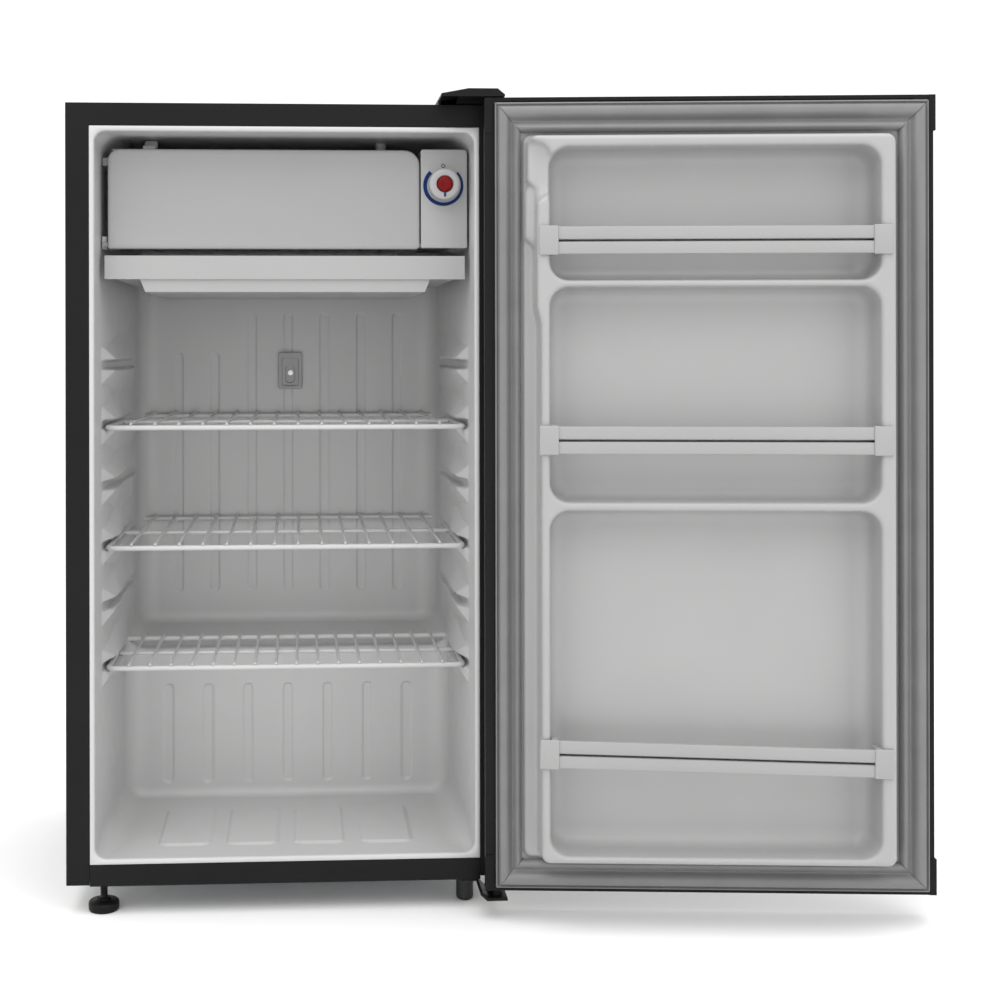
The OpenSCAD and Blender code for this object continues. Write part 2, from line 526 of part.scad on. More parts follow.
module door_bottom_cap() color([0.08, 0.08, 0.08]) row() door_at() difference() {
  door_cap(dz0, dz0 + cap, dz0 + 38);
  bx([-hw + 6, yi - 6, dz0 + cap], [hw - 6, yi - 0.05, dz0 + 60]);
}
// moulded inside of the door: o = material taken off behind
module liner_mass(o) {
  along_y(yi - 12, yi + 6 - o)
    polygon(rr(-195.4 + o, dz0 + 37.6 + o, 195.4 - o, dz1 - 39.4 - o, [8, 8, 8, 8]));
  difference() {
    along_y(yi - 12, yd - o) polygon([[-181 + o, dz0 + 58 + o], [-176 + o, dz0 + 42 + o],
      [176 - o, dz0 + 42 + o], [181 - o, dz0 + 58 + o], [181 - o, dz1 - 52 - o],
      [174 - o, dz1 - 43 - o], [-174 + o, dz1 - 43 - o], [-181 + o, dz1 - 52 - o]]);
    // relief for the thermostat knob
    bx([152 - o, yh + 33 - o, oz1 - 86 - o], [220, yd + 20, dz1]);
  }
  // block beside the thermostat
  along_y(yi, yh + 31 - o) polygon([[170, oz1 - 132 + o], [180 - o, oz1 - 132 + o],
    [195.2 - o, oz1 - 124 + o], [195.2 - o, oz1 - 74 - o], [180 - o, oz1 - 66 - o],
    [170, oz1 - 66 - o]]);
}
module liner_pockets(o) for (p = pockets)
  along_y(yi - 4 - o, yd + 5) polygon(rr(-px - o, p[0] - o, px + o, p[1] + o, [16, 16, 16, 16]));
module door_liner() color([0.9, 0.9, 0.89]) row() door_at() difference() {
  union() {
    liner_mass(0);
    bx([-hw + 7, yi, dz0 + 8.5], [hw - 12, yi + 2, dz1 - 8.5]);
  }
  difference() {
    intersection() {
      union() liner_mass(liner_wall);
      bx([-300, yi - 60, 0], [300, yd + 20, 1000]);
    }
    liner_pockets(liner_wall);
  }
  liner_pockets(0);
  bx([-300, yi - 30, 0], [300, yi - 6.2, 1000]);
  // nothing of it goes behind the flange except the pockets
  difference() {
    bx([-220, yi - 30, 0], [220, yi, 1000]);
    along_y(yi - 31, yi + 1) polygon(rr(-193.2, dz0 + 39.8, 193.2, dz1 - 41.6, [8, 8, 8, 8]));
  }
}
module door_insulation() color([0.86, 0.80, 0.62]) row() door_at() difference() {
  union() {
    door_block(sheet + 0.01, dz0 + 16, dz1 - 16);
    intersection() {
      liner_mass(liner_wall + 0.01);
      bx([-193, yi - 3, dz0 + 40], [193, yd, dz1 - 42]);
    }
  }
  liner_pockets(liner_wall + 0.01);
  bx([hw - 20, yi - 1.5, 0], [hw, yi + 5, 1000]);
  bx([-hw, yi - 1.5, 0], [-hw + 20, yi + 5, 1000]);
  for (p = pockets) bx([-175, yi - 6.3, p[0] - 3], [175, yi - 5, p[1] + 3]);
  bx([-hw + 9, yo, 499], [-hw + 47, yo + 20.1, 641]);
  cv(xh, yh, dz0, dz0 + 17, 8);
  cv(xh, yh, dz1 - 17, dz1, 8);
}
module door_gasket() color([0.53, 0.53, 0.53]) row() door_at() difference() {
  union() {
    ring(gx0 + 4, gz0 + 4, gx1 - 4, gz1 - 4, 26, yi + 2, yi + 4.2);
    ring(gx0, gz0, gx1, gz1, 5, yi + 3.4, yi + 6.4);
    ring(gx0 + 3, gz0 + 3, gx1 - 3, gz1 - 3, 20, yi + 4, F - 0.4);
    ring(gx0 + 20, gz0 + 20, gx1 - 20, gz1 - 20, 9.6, yi + 4, yi + 7.4);
  }
  ring(gx0 + 5, gz0 + 5, gx1 - 5, gz1 - 5, 9, yi + 8.2, F - 1.4);
  ring(gx0 + 16, gz0 + 16, gx1 - 16, gz1 - 16, 5.5, yi + 5.2, F - 1.4);
}
module gasket_magnets() color([0.2, 0.18, 0.17]) row() door_at() {
  for (z = [gz0 + 6, gz1 - 13]) bx([gx0 + 16, yi + 8.6, z], [gx1 - 16, F - 1.6, z + 7]);
  for (x = [gx0 + 6, gx1 - 13]) bx([x, yi + 8.6, gz0 + 16], [x + 7, F - 1.6, gz1 - 16]);
}
module door_grip() color([0.08, 0.08, 0.08]) row() door_at() difference() {
  union() {
    bx([-hw + 10.3, yo - 0.5, 500.3], [-hw + 45.7, yo + 20, 639.7]);
    bx([-hw + 7, yo - 1.2, 497], [-hw + 49, yo, 643]);
  }
  along_y(yo - 5, yo + 18) polygon(rr(-hw + 13, 503, -hw + 43, 637, [6, 6, 6, 6]));
}
module hinge_bushes() color([0.85, 0.85, 0.83]) row() door_at()
  for (z = [[dz0, dz0 + 14], [dz1 - 14, dz1]]) difference() {
    cv(xh, yh, z[0], z[1], 5.9);
    cv(xh, yh, z[0] - 1, z[1] + 1, 3.6);
  }
module rack_bar(z) color([0.9, 0.9, 0.89]) row() door_at() difference() {
  union() {
    bx([-168, yd - 3, z], [168, yd + 1.5, z + 28.5]);
    // end clips that hook over the liner's ribs
    for (s = [0, 1]) mirror([s, 0, 0]) {
      bx([163, yd + 0.1, z - 1], [181.5, yd + 3, z + 29.5]);
      bx([163, yd - 16, z - 1], [169.8, yd + 1, z + 29.5]);
    }
  }
  bx([-162, yd - 9, z + 12.4], [162, yd + 9, z + 15.4]);
}
module rack_bar_upper() rack_bar(bars[2]);
module rack_bar_middle() rack_bar(bars[1]);
module rack_bar_lower() rack_bar(bars[0]);

// ---- inside pieces ----
module freezer_flap() color([0.92, 0.92, 0.91]) row() union() {
  difference() {
    along_y(fy, fy + 14) polygon(rr(fx0, fz0, fx1, fz1, [3, 3, 13, 13]));
    along_y(fy + 2.6, fy + 15) polygon(rr(fx0 + 2.6, fz0 + 2.6, fx1 - 2.6, fz1 - 2.6, [2, 2, 10, 10]));
    bx([fx0 + 8, fy - 1, fz0 + 9.6], [fx1 - 8, fy + 0.5, fz0 + 11]);
  }
  cx(pivot_y, pivot_z, -lf + 4.4, fx0 + 3, 3.2);
  cx(pivot_y, pivot_z, fx1 - 3, fx1 + 3, 3.2);
  for (x = [fx0 + 90, fx0 + 172, fx1 - 90]) bx([x, fy + 2, fz0 + 2], [x + 2, fy + 12, fz1 - 2]);
}
// cross section of the tray's trough, o = material taken off inside
function trough(o) = [[-188 + o, tz - 4], [-188 + o, tz - 25.4 + o], [-160.5 + o, tz - 25.4 + o],
  [-154.5 + o, tz - 40 + o], [154.5 - o, tz - 40 + o], [160.5 - o, tz - 25.4 + o], [188 - o, tz - 25.4 + o],
  [188 - o, tz - 4]];
module drip_tray() color([0.9, 0.9, 0.89]) row() union() {
  difference() {
    along_y(F + 36, F + 290) polygon(trough(0));
    along_y(F + 38, F + 288) polygon(concat(trough(2), [[186, tz], [-186, tz]]));
  }
  bx([-198.6, F + 33, tz - 26], [198.6, F + 36.5, tz]);
  bx([-198.6, F + 36, tz - 3], [198.6, F + 42, tz]);
}
// wire shelf: frame, cross wires and thin wires laid on them
module shelf(y0, y1, z, count) color([0.93, 0.93, 0.93]) row()
  let(h = shelf_width / 2 - frame_wire / 2, r = frame_wire / 2) union() {
  cx(y0, z, -h, h, r);
  cx(y1, z, -h, h, r);
  for (s = [-1, 1]) cy(s * h, z, y0, y1, r);
  for (s = [-1, 1], y = [y0, y1]) translate([s * h, y, z]) sphere(r = r);
  cx((y0 + y1) / 2, z, -h, h, r * 0.8);
  for (i = [1:count]) cy(-h + i * 2 * h / (count + 1), z + r, y0, y1, thin_wire / 2);
}
module shelf_upper() shelf(F + 52, yu - 6, level(1), wire_count);
module shelf_middle() shelf(F + 56, yu - 6, level(3), wire_count);
module shelf_lower() shelf(F + 58, yl - 4, level(5), wire_count + 2);
module thermostat_knob() color([0.93, 0.93, 0.92]) row() difference() {
  union() {
    cy(kx, kz, F + 18, F + 30, knob_radius);
    cy(kx, kz, F + 29, F + 36.5, knob_radius - 1.6);
  }
  cy(kx, kz, F + 15, F + 30.2, 9);
  cy(kx, kz, F + 15, F + 40, 3.2);
}
module knob_pointer() color([0.11, 0.25, 0.48]) row()
  bx([kx - 1.2, F + 17.6, kz - 14], [kx + 1.2, F + 18, kz - 9.6]);
module defrost_button() color([0.55, 0.08, 0.08]) row() union() {
  translate([kx, F + 26.6, kz]) rotate([90, 0, 0]) rotate_extrude() polygon([[0, 0], [8.6, 0], [8.6, 8.8],
    [7.6, 10.4], [5, 11.2], [0, 11.4]]);
  cy(kx, kz, F + 26, F + 45, 2);
}

cabinet_shell();
front_crosspiece();
base_deck();
compressor_base();
back_panel();
cabinet_insulation();
inner_liner();
evaporator_box();
evaporator_hangers();
freezer_frame();
thermostat_housing();
thermostat_body();
housing_screws();
capillary_tube();
dial_markings();
probe_cover();
probe_screw();
compressor();
compressor_feet();
grommets();
compressor_bolts();
start_relay();
filter_drier();
suction_line();
refrigerant_capillary();
discharge_line();
liquid_line();
condenser();
condenser_brackets();
cord_gland();
top_hinge_bracket();
top_hinge_cover();
top_hinge_screws();
lower_hinge_bracket();
lower_hinge_screws();
front_right_foot();
rear_feet();
foot_stud();
foot_pad();
door_panel();
door_top_cap();
door_bottom_cap();
door_insulation();
door_liner();
door_gasket();
gasket_magnets();
door_grip();
hinge_bushes();
rack_bar_upper();
rack_bar_middle();
rack_bar_lower();
freezer_flap();
drip_tray();
shelf_upper();
shelf_middle();
shelf_lower();
thermostat_knob();
knob_pointer();
defrost_button();
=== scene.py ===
import json
import math

import bmesh
import bpy
import numpy as np
from mathutils import Matrix, Vector


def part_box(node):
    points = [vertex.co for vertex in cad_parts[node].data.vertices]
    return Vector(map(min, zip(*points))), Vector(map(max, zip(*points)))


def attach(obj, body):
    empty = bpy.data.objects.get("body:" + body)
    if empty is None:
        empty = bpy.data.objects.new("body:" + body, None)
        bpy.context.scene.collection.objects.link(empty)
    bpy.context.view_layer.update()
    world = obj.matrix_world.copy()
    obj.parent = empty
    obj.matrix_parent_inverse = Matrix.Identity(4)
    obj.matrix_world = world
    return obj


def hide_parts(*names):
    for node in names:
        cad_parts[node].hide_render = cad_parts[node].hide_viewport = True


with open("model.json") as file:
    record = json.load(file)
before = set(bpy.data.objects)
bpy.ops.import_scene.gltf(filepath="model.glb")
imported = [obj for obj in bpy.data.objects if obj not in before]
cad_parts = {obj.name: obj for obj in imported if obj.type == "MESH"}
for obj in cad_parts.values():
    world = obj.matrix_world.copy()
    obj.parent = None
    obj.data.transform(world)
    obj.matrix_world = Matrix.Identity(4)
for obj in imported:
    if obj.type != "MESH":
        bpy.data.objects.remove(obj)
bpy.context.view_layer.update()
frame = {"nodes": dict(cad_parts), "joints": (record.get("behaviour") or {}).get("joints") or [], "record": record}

# ---------------------------------------------------------------- places
# Sizes below are in millimetres in the cabinet's own coordinates: x from its middle,
# y back from its front face, z up from the floor. The door's pieces are drawn shut.
MM = 0.001
shell_low, shell_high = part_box("cabinet_shell")
MIDDLE_X = (shell_low.x + shell_high.x) / 2
FRONT_Y = shell_low.y
HALF = (shell_high.x - shell_low.x) / 2 / MM
liner_low, liner_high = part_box("inner_liner")
OPEN_X = (liner_high.x - liner_low.x) / 2 / MM  # half width of the cabinet's opening
OPEN_Z0 = liner_low.z / MM
OPEN_Z1 = liner_high.z / MM
CAVITY_X = OPEN_X - 4.9  # half width of the cavity at its mouth
CAVITY_DRAFT = 13.0  # how much narrower each side is at the back
CAVITY_Y = 341.0  # depth above the step
LOWER_Y = 229.0  # depth below the step
FLOOR_Z = OPEN_Z0 + 2.2
CEILING_Z = OPEN_Z1 - 4.9
STEP_Z = FLOOR_Z + 183.0
STEP_RISE = 12.0
TOP_LEVEL = OPEN_Z1 - 261.1  # highest of the shelf levels
LEVEL_PITCH = 67.2
LEVELS = [TOP_LEVEL - LEVEL_PITCH * i for i in range(6)]

hinge = next(j for j in frame["joints"] if j["name"] == "door_hinge")
HINGE = Vector(hinge["pos_m"])
OPEN_ANGLE = math.radians(-hinge["range_deg"][0])
DOOR_TURN = (Matrix.Translation(HINGE) @ Matrix.Rotation(OPEN_ANGLE, 4, "Z")
             @ Matrix.Translation(-HINGE))
DOOR_Z0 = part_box("door_bottom_cap")[0].z / MM
DOOR_Z1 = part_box("door_top_cap")[1].z / MM
DOOR_BACK = -12.3  # the door body's face towards the cabinet
CREST = 27.7  # how far the door liner reaches in


def place(x, y, z):
    """Point of the cabinet's millimetres in the frame's metres."""
    return Vector((MIDDLE_X + x * MM, FRONT_Y + y * MM, z * MM))


TO_FRAME = Matrix.Translation(place(0, 0, 0)) @ Matrix.Scale(MM, 4)
DOOR_TO_FRAME = DOOR_TURN @ TO_FRAME


def box_of(node):
    """Low and high corner of a part, in the cabinet's millimetres."""
    return [TO_FRAME.inverted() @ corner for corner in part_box(node)]


def middle_of(node):
    """Middle of a part, in the cabinet's millimetres."""
    low, high = box_of(node)
    return (low.x + high.x) / 2, (low.y + high.y) / 2, (low.z + high.z) / 2


# ---------------------------------------------------------------- mesh helpers
def new_object(name, mesh, body, nodes=(), slot=None, smooth=35, material=None):
    """Piece of the visual model that rides a body and replaces the named parts.

    Its material is the slot's own unless another is given."""
    piece = bpy.data.objects.new(name, mesh)
    bpy.context.scene.collection.objects.link(piece)
    mesh.materials.append(material or LOOKS[slot])
    if smooth:
        smooth_by_angle(mesh, smooth)
    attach(piece, body)
    if nodes:
        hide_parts(*nodes)
    return piece


def smooth_by_angle(mesh, degrees):
    """Smooth shading with sharp edges where two faces meet at more than the angle."""
    bm = bmesh.new()
    bm.from_mesh(mesh)
    limit = math.radians(degrees)
    for face in bm.faces:
        face.smooth = True
    for edge in bm.edges:
        edge.smooth = len(edge.link_faces) != 2 or edge.calc_face_angle(0) < limit
    bm.to_mesh(mesh)
    bm.free()


def mesh_from(bm, name, matrix, outward=False):
    """The finished mesh, carried from millimetres into the frame."""
    if outward:
        bmesh.ops.recalc_face_normals(bm, faces=bm.faces)
    bmesh.ops.transform(bm, matrix=matrix, verts=bm.verts)
    mesh = bpy.data.meshes.new(name)
    bm.to_mesh(mesh)
    bm.free()
    return mesh


def skin(name, field, low, high, step, matrix, flip=False):
    """Mesh of the surface where field(x, y, z) is zero, with one vertex in each cell it crosses."""
    axes = [np.arange(a, b + step / 2, step, dtype=np.float32) for a, b in zip(low, high)]
    values = field(*np.meshgrid(*axes, indexing="ij", sparse=True)).astype(np.float32)
    cells = tuple(n - 1 for n in values.shape)
    total = np.zeros(cells + (3,), np.float32)
    count = np.zeros(cells, np.float32)
    crossings = []
    for axis in range(3):
        n = values.shape[axis]
        first = np.take(values, range(n - 1), axis)
        second = np.take(values, range(1, n), axis)
        crossing = (first < 0) != (second < 0)
        share = np.where(crossing, first / np.where(crossing, first - second, 1), 0)
        crossings.append((crossing, first < 0))
        u, v = [k for k in range(3) if k != axis]
        for du in (0, 1):
            for dv in (0, 1):
                cut = [slice(None)] * 3
                cut[u] = slice(du, cells[u] + du)
                cut[v] = slice(dv, cells[v] + dv)
                hit = crossing[tuple(cut)]
                total[..., axis] += share[tuple(cut)]
                total[..., u] += hit * du
                total[..., v] += hit * dv
                count += hit
    used = count > 0
    index = np.full(cells, -1, np.int64)
    index[used] = np.arange(used.sum())
    corner = np.argwhere(used).astype(np.float32)
    points = (corner + total[used] / count[used][:, None]) * step + np.array(low, np.float32)
    quads = []
    for axis, (crossing, inside) in enumerate(crossings):
        u, v = [k for k in range(3) if k != axis]
        core = [slice(None)] * 3
        core[u] = slice(1, cells[u])
        core[v] = slice(1, cells[v])
        where = np.argwhere(crossing[tuple(core)])
        where[:, u] += 1
        where[:, v] += 1
        ring = []
        for du, dv in ((-1, -1), (0, -1), (0, 0), (-1, 0)):
            cell = where.copy()
            cell[:, u] += du
            cell[:, v] += dv
            ring.append(index[tuple(cell.T)])
        ring = np.stack(ring, 1)
        turned = inside[tuple(where.T)] != (axis == 1)
        if flip:
            turned = ~turned
        ring[~turned] = ring[~turned][:, ::-1]
        quads.append(ring)
    quads = np.concatenate(quads)
    quads = quads[(quads >= 0).all(1)]
    pairs, free = mesh_edges(quads, len(points))
    for _ in range(2):
        points = relaxed(points, pairs, free, 3)
        gradient = slope(field, points)
        steepness = np.maximum((gradient ** 2).sum(1), 0.2)
        shift = free * np.clip(field(*points.T) / steepness, -1, 1)
        points -= gradient * shift[:, None]
    mesh = bpy.data.meshes.new(name)
    mesh.from_pydata(points.tolist(), [], quads.tolist())
    normals = slope(field, points) * (-1 if flip else 1)
    normals /= np.maximum(np.linalg.norm(normals, axis=1), 1e-6)[:, None]
    mesh.polygons.foreach_set("use_smooth", [True] * len(quads))
    mesh.normals_split_custom_set_from_vertices(normals.tolist())
    mesh.transform(matrix)
    mesh.update()
    return mesh


def slope(field, points, reach=0.4):
    """Gradient of the field at each point."""
    columns = []
    for axis in range(3):
        ahead, behind = points.copy(), points.copy()
        ahead[:, axis] += reach
        behind[:, axis] -= reach
        columns.append((field(*ahead.T) - field(*behind.T)) / (2 * reach))
    return np.stack(columns, 1)


def mesh_edges(quads, count):
    """Pairs of points joined by an edge, and which points are not on an open rim."""
    ends = np.concatenate([quads[:, [k, (k + 1) % 4]] for k in range(4)])
    ends.sort(axis=1)
    keys, times = np.unique(ends[:, 0] * count + ends[:, 1], return_counts=True)
    pairs = np.stack([keys // count, keys % count], 1)
    free = np.ones(count, bool)
    free[pairs[times == 1]] = False
    return pairs, free


def relaxed(points, pairs, free, rounds):
    """The points moved towards the middle of their neighbours; an open rim stays where it is."""
    ends = pairs.T.ravel()
    others = pairs[:, ::-1].T.ravel()
    degree = np.maximum(np.bincount(ends, minlength=len(points)), 1)
    points = points.astype(float)
    for _ in range(rounds):
        for axis in range(3):
            middle = np.bincount(ends, points[others, axis], len(points)) / degree
            points[:, axis] += 0.5 * np.where(free, middle - points[:, axis], 0)
    return points


def soft_max(a, b, k):
    """The larger of two fields, with a fillet of about k where they meet."""
    h = np.maximum(k - np.abs(a - b), 0) / k
    return np.maximum(a, b) + h * h * k / 4


def soft_min(a, b, k):
    """The smaller of two fields, with the same fillet."""
    return -soft_max(-a, -b, k)


def ramp(value, start, end):
    """0 before start, 1 after end, smooth between them."""
    t = np.clip((value - start) / (end - start), 0, 1)
    return t * t * (3 - 2 * t)


def plate(u, v, u0, v0, u1, v1, radius):
    """Field of a rounded rectangle on a plane."""
    qu = np.abs(u - (u0 + u1) / 2) - (u1 - u0) / 2 + radius
    qv = np.abs(v - (v0 + v1) / 2) - (v1 - v0) / 2 + radius
    outside = np.sqrt(np.maximum(qu, 0) ** 2 + np.maximum(qv, 0) ** 2)
    return outside + np.minimum(np.maximum(qu, qv), 0) - radius


def rounded_path(points, radius, closed=False, steps=5):
    """The points with each bend replaced by an arc."""
    points = [Vector(p) for p in points]
    n = len(points)
    out = []
    for i, p in enumerate(points):
        if not closed and i in (0, n - 1):
            out.append(p)
            continue
        before = points[i - 1] - p
        after = points[(i + 1) % n] - p
        half_turn = before.angle(after) / 2
        reach = min(radius / math.tan(half_turn), before.length / 2, after.length / 2)
        if half_turn > math.radians(89):
            out.append(p)
            continue
        start = p + before.normalized() * reach
        end = p + after.normalized() * reach
        for k in range(steps + 1):
            t = k / steps
            out.append(start * (1 - t) ** 2 + p * 2 * t * (1 - t) + end * t * t)
    return out


def tube(bm, points, radius, sides=10, closed=False):
    """Round tube along the points, with closed ends."""
    points = [Vector(p) for p in points]
    n = len(points)
    rings = []
    side = None
    for i, p in enumerate(points):
        if closed:
            along = points[(i + 1) % n] - points[i - 1]
        else:
            along = points[min(i + 1, n - 1)] - points[max(i - 1, 0)]
        along.normalize()
        if side is None:
            side = along.orthogonal()
        side = (side - along * side.dot(along)).normalized()
        up = along.cross(side)
        ring = []
        for k in range(sides):
            a = 2 * math.pi * k / sides
            ring.append(bm.verts.new(p + side * math.cos(a) * radius + up * math.sin(a) * radius))
        rings.append(ring)
    spans = n if closed else n - 1
    for i in range(spans):
        a, b = rings[i], rings[(i + 1) % n]
        offset = 0
        if closed and i == n - 1:
            offset = min(range(sides), key=lambda k: (b[k].co - a[0].co).length)
        for k in range(sides):
            bm.faces.new((a[k], a[(k + 1) % sides], b[(k + 1 + offset) % sides], b[(k + offset) % sides]))
    if not closed:
        bm.faces.new(rings[0][::-1])
        bm.faces.new(rings[-1])


def bridge(bm, a, b):
    """Faces between two closed rings of equal length."""
    n = len(a)
    for k in range(n):
        bm.faces.new((a[k], a[(k + 1) % n], b[(k + 1) % n], b[k]))


def lathe(bm, profile, centre, axis="Z", steps=64):
    """Solid turned from (radius, height) points about an axis through centre."""
    turn = {"Z": Matrix.Identity(3), "Y": Matrix.Rotation(math.radians(-90), 3, "X")}[axis]
    rings = []
    for radius, height in profile:
        ring = []
        for k in range(steps):
            a = 2 * math.pi * k / steps
            local = Vector((radius * math.cos(a), radius * math.sin(a), height))
            ring.append(bm.verts.new(Vector(centre) + turn @ local))
        rings.append(ring)
    for a, b in zip(rings, rings[1:]):
        bridge(bm, a, b)
    for ring in (rings[0][::-1], rings[-1]):
        bm.faces.new(ring)
    bmesh.ops.remove_doubles(bm, verts=bm.verts, dist=0.0005)


def rounded_outline(x0, z0, x1, z1, radii, steps=8):
    """Corner arcs of a rectangle, anticlockwise from the low left corner."""
    corners = ((x0, z0, 1, 1, 180), (x1, z0, -1, 1, 270), (x1, z1, -1, -1, 0), (x0, z1, 1, -1, 90))
    out = []
    for (cx, cz, sx, sz, start), r in zip(corners, radii):
        for k in range(steps + 1):
            a = math.radians(start + 90 * k / steps)
            out.append((cx + sx * r + r * math.cos(a), cz + sz * r + r * math.sin(a)))
    return out


def moulding(bm, layers):
    """Closed skin through outlines of equal length: each layer is (outline, y)."""
    rings = [[bm.verts.new((x, y, z)) for x, z in outline] for outline, y in layers]
    for a, b in zip(rings, rings[1:]):
        bridge(bm, a, b)
    bm.faces.new(rings[0][::-1])
    bm.faces.new(rings[-1])
    bmesh.ops.recalc_face_normals(bm, faces=bm.faces)


def block(bm, low, high, bevel=0.8, segments=3):
    """Box with rounded edges."""
    size = [b - a for a, b in zip(low, high)]
    middle = [(a + b) / 2 for a, b in zip(low, high)]
    made = bmesh.ops.create_cube(bm, matrix=Matrix.LocRotScale(middle, None, size))
    edges = list(dict.fromkeys(edge for corner in made["verts"] for edge in corner.link_edges))
    bmesh.ops.bevel(bm, geom=edges, offset=bevel, segments=segments, affect="EDGES", profile=0.5)


# ---------------------------------------------------------------- materials
class Look:
    """A Principled material whose colour, roughness and bump come from procedural nodes."""

    def __init__(self, name, metallic=0.0, shine=0.5):
        self.material = bpy.data.materials.new(name)
        self.material.use_nodes = True
        self.tree = self.material.node_tree
        self.shader = self.tree.nodes["Principled BSDF"]
        self.shader.inputs["Metallic"].default_value = metallic
        self.shader.inputs["Specular IOR Level"].default_value = shine
        self.place = self.node("ShaderNodeTexCoord").outputs["Object"]

    def node(self, kind):
        return self.tree.nodes.new(kind)

    def link(self, source, target):
        self.tree.links.new(source, target)

    def stretched(self, scale):
        """Place for a texture that is squeezed along the axes."""
        mapping = self.node("ShaderNodeMapping")
        mapping.inputs["Scale"].default_value = scale
        self.link(self.place, mapping.inputs["Vector"])
        return mapping.outputs["Vector"]

    def noise(self, scale, detail=3.0, vector=None):
        made = self.node("ShaderNodeTexNoise")
        made.inputs["Scale"].default_value = scale
        made.inputs["Detail"].default_value = detail
        self.link(vector or self.place, made.inputs["Vector"])
        return made.outputs["Fac"]

    def cells(self, scale, output="Distance"):
        made = self.node("ShaderNodeTexVoronoi")
        made.inputs["Scale"].default_value = scale
        self.link(self.place, made.inputs["Vector"])
        return made.outputs[output]

    def colour(self, factor, first, second, low=0.3, high=0.7):
        """Blend of two colours by a texture."""
        blend = self.node("ShaderNodeValToRGB")
        blend.color_ramp.elements[0].position = low
        blend.color_ramp.elements[0].color = (*first, 1)
        blend.color_ramp.elements[1].position = high
        blend.color_ramp.elements[1].color = (*second, 1)
        self.link(factor, blend.inputs["Fac"])
        self.link(blend.outputs["Color"], self.shader.inputs["Base Color"])

    def roughness(self, factor, low, high):
        """Roughness that wanders between two values with a texture."""
        spread = self.node("ShaderNodeMapRange")
        spread.inputs["From Min"].default_value = 0.3
        spread.inputs["From Max"].default_value = 0.7
        spread.inputs["To Min"].default_value = low
        spread.inputs["To Max"].default_value = high
        self.link(factor, spread.inputs["Value"])
        self.link(spread.outputs["Result"], self.shader.inputs["Roughness"])

    def bump(self, *layers):
        """Each layer is (height, strength, distance in metres); they are chained."""
        previous = None
        for height, strength, distance in layers:
            made = self.node("ShaderNodeBump")
            made.inputs["Strength"].default_value = strength
            made.inputs["Distance"].default_value = distance
            self.link(height, made.inputs["Height"])
            if previous:
                self.link(previous, made.inputs["Normal"])
            previous = made.outputs["Normal"]
        self.link(previous, self.shader.inputs["Normal"])


def grey(value, warm=0.0):
    """Grey that may lean to red by a small share."""
    return (value * (1 + warm), value, value * (1 - warm))


def painted_steel(name, tone, gloss):
    look = Look(name, shine=0.13)
    look.colour(look.noise(9), grey(tone * 0.93), grey(tone * 1.07))
    look.roughness(look.noise(25, 1), gloss - 0.02, gloss + 0.02)
    look.bump((look.noise(420, 1), 0.07, 0.0002), (look.noise(9, 0), 0.04, 0.002))
    return look.material


def moulded_plastic(name, tone, gloss, warm=0.0, peel=0.1):
    look = Look(name)
    look.colour(look.noise(11, 1), grey(tone * 0.985, warm), grey(tone * 1.012, warm))
    look.roughness(look.noise(45, 2), gloss - 0.03, gloss + 0.05)
    look.bump((look.noise(260, 1), peel * 0.3, 0.0002), (look.noise(7, 0), 0.04, 0.002))
    return look.material


def grained_plastic(name, tone, gloss):
    look = Look(name, shine=0.15)
    look.colour(look.noise(30), grey(tone * 0.85), grey(tone * 1.2))
    look.roughness(look.noise(120), gloss - 0.06, gloss + 0.08)
    look.bump((look.cells(1400), 0.3, 0.0002), (look.noise(300), 0.15, 0.0003))
    return look.material


def galvanised_steel(name):
    look = Look(name, metallic=1.0)
    spangle = look.cells(120, "Color")
    look.colour(spangle, (0.44, 0.46, 0.48), (0.68, 0.69, 0.70), 0.1, 0.9)
    look.roughness(spangle, 0.32, 0.5)
    look.bump((look.noise(260, 4), 0.12, 0.0003))
    return look.material


def brushed_aluminium(name):
    look = Look(name, metallic=1.0)
    streaks = look.noise(60, 5, look.stretched((1, 1, 40)))
    look.colour(streaks, (0.62, 0.64, 0.66), (0.82, 0.83, 0.85))
    look.roughness(streaks, 0.30, 0.46)
    look.bump((streaks, 0.12, 0.0002))
    return look.material


def turned_steel(name, dark=0.50, light=0.74):
    look = Look(name, metallic=1.0)
    look.colour(look.noise(220, 5), grey(dark), grey(light))
    look.roughness(look.noise(500), 0.30, 0.45)
    look.bump((look.noise(900), 0.15, 0.0002))
    return look.material


def copper_tube(name):
    look = Look(name, metallic=1.0)
    look.colour(look.noise(70, 6), (0.38, 0.17, 0.09), (0.78, 0.42, 0.26))
    look.roughness(look.noise(160, 4), 0.30, 0.5)
    look.bump((look.noise(500, 3), 0.12, 0.0002))
    return look.material


def rubber(name, tone, gloss, warm=0.0):
    look = Look(name)
    look.colour(look.noise(30, 3), grey(tone * 0.95, warm), grey(tone * 1.05, warm))
    look.roughness(look.noise(90, 4), gloss - 0.06, gloss + 0.06)
    look.bump((look.noise(800, 4), 0.22, 0.0002))
    return look.material


def foam(name):
    look = Look(name)
    look.colour(look.noise(50, 6), (0.60, 0.50, 0.30), (0.80, 0.72, 0.50))
    look.roughness(look.noise(200), 0.8, 0.95)
    look.bump((look.cells(500), 0.7, 0.0006), (look.noise(60, 5), 0.4, 0.002))
    return look.material


def tinted_plastic(name, dark, light, gloss):
    look = Look(name, shine=0.12)
    look.colour(look.noise(120, 4), dark, light)
    look.roughness(look.noise(300), gloss - 0.05, gloss + 0.07)
    look.bump((look.noise(900), 0.1, 0.0002))
    return look.material


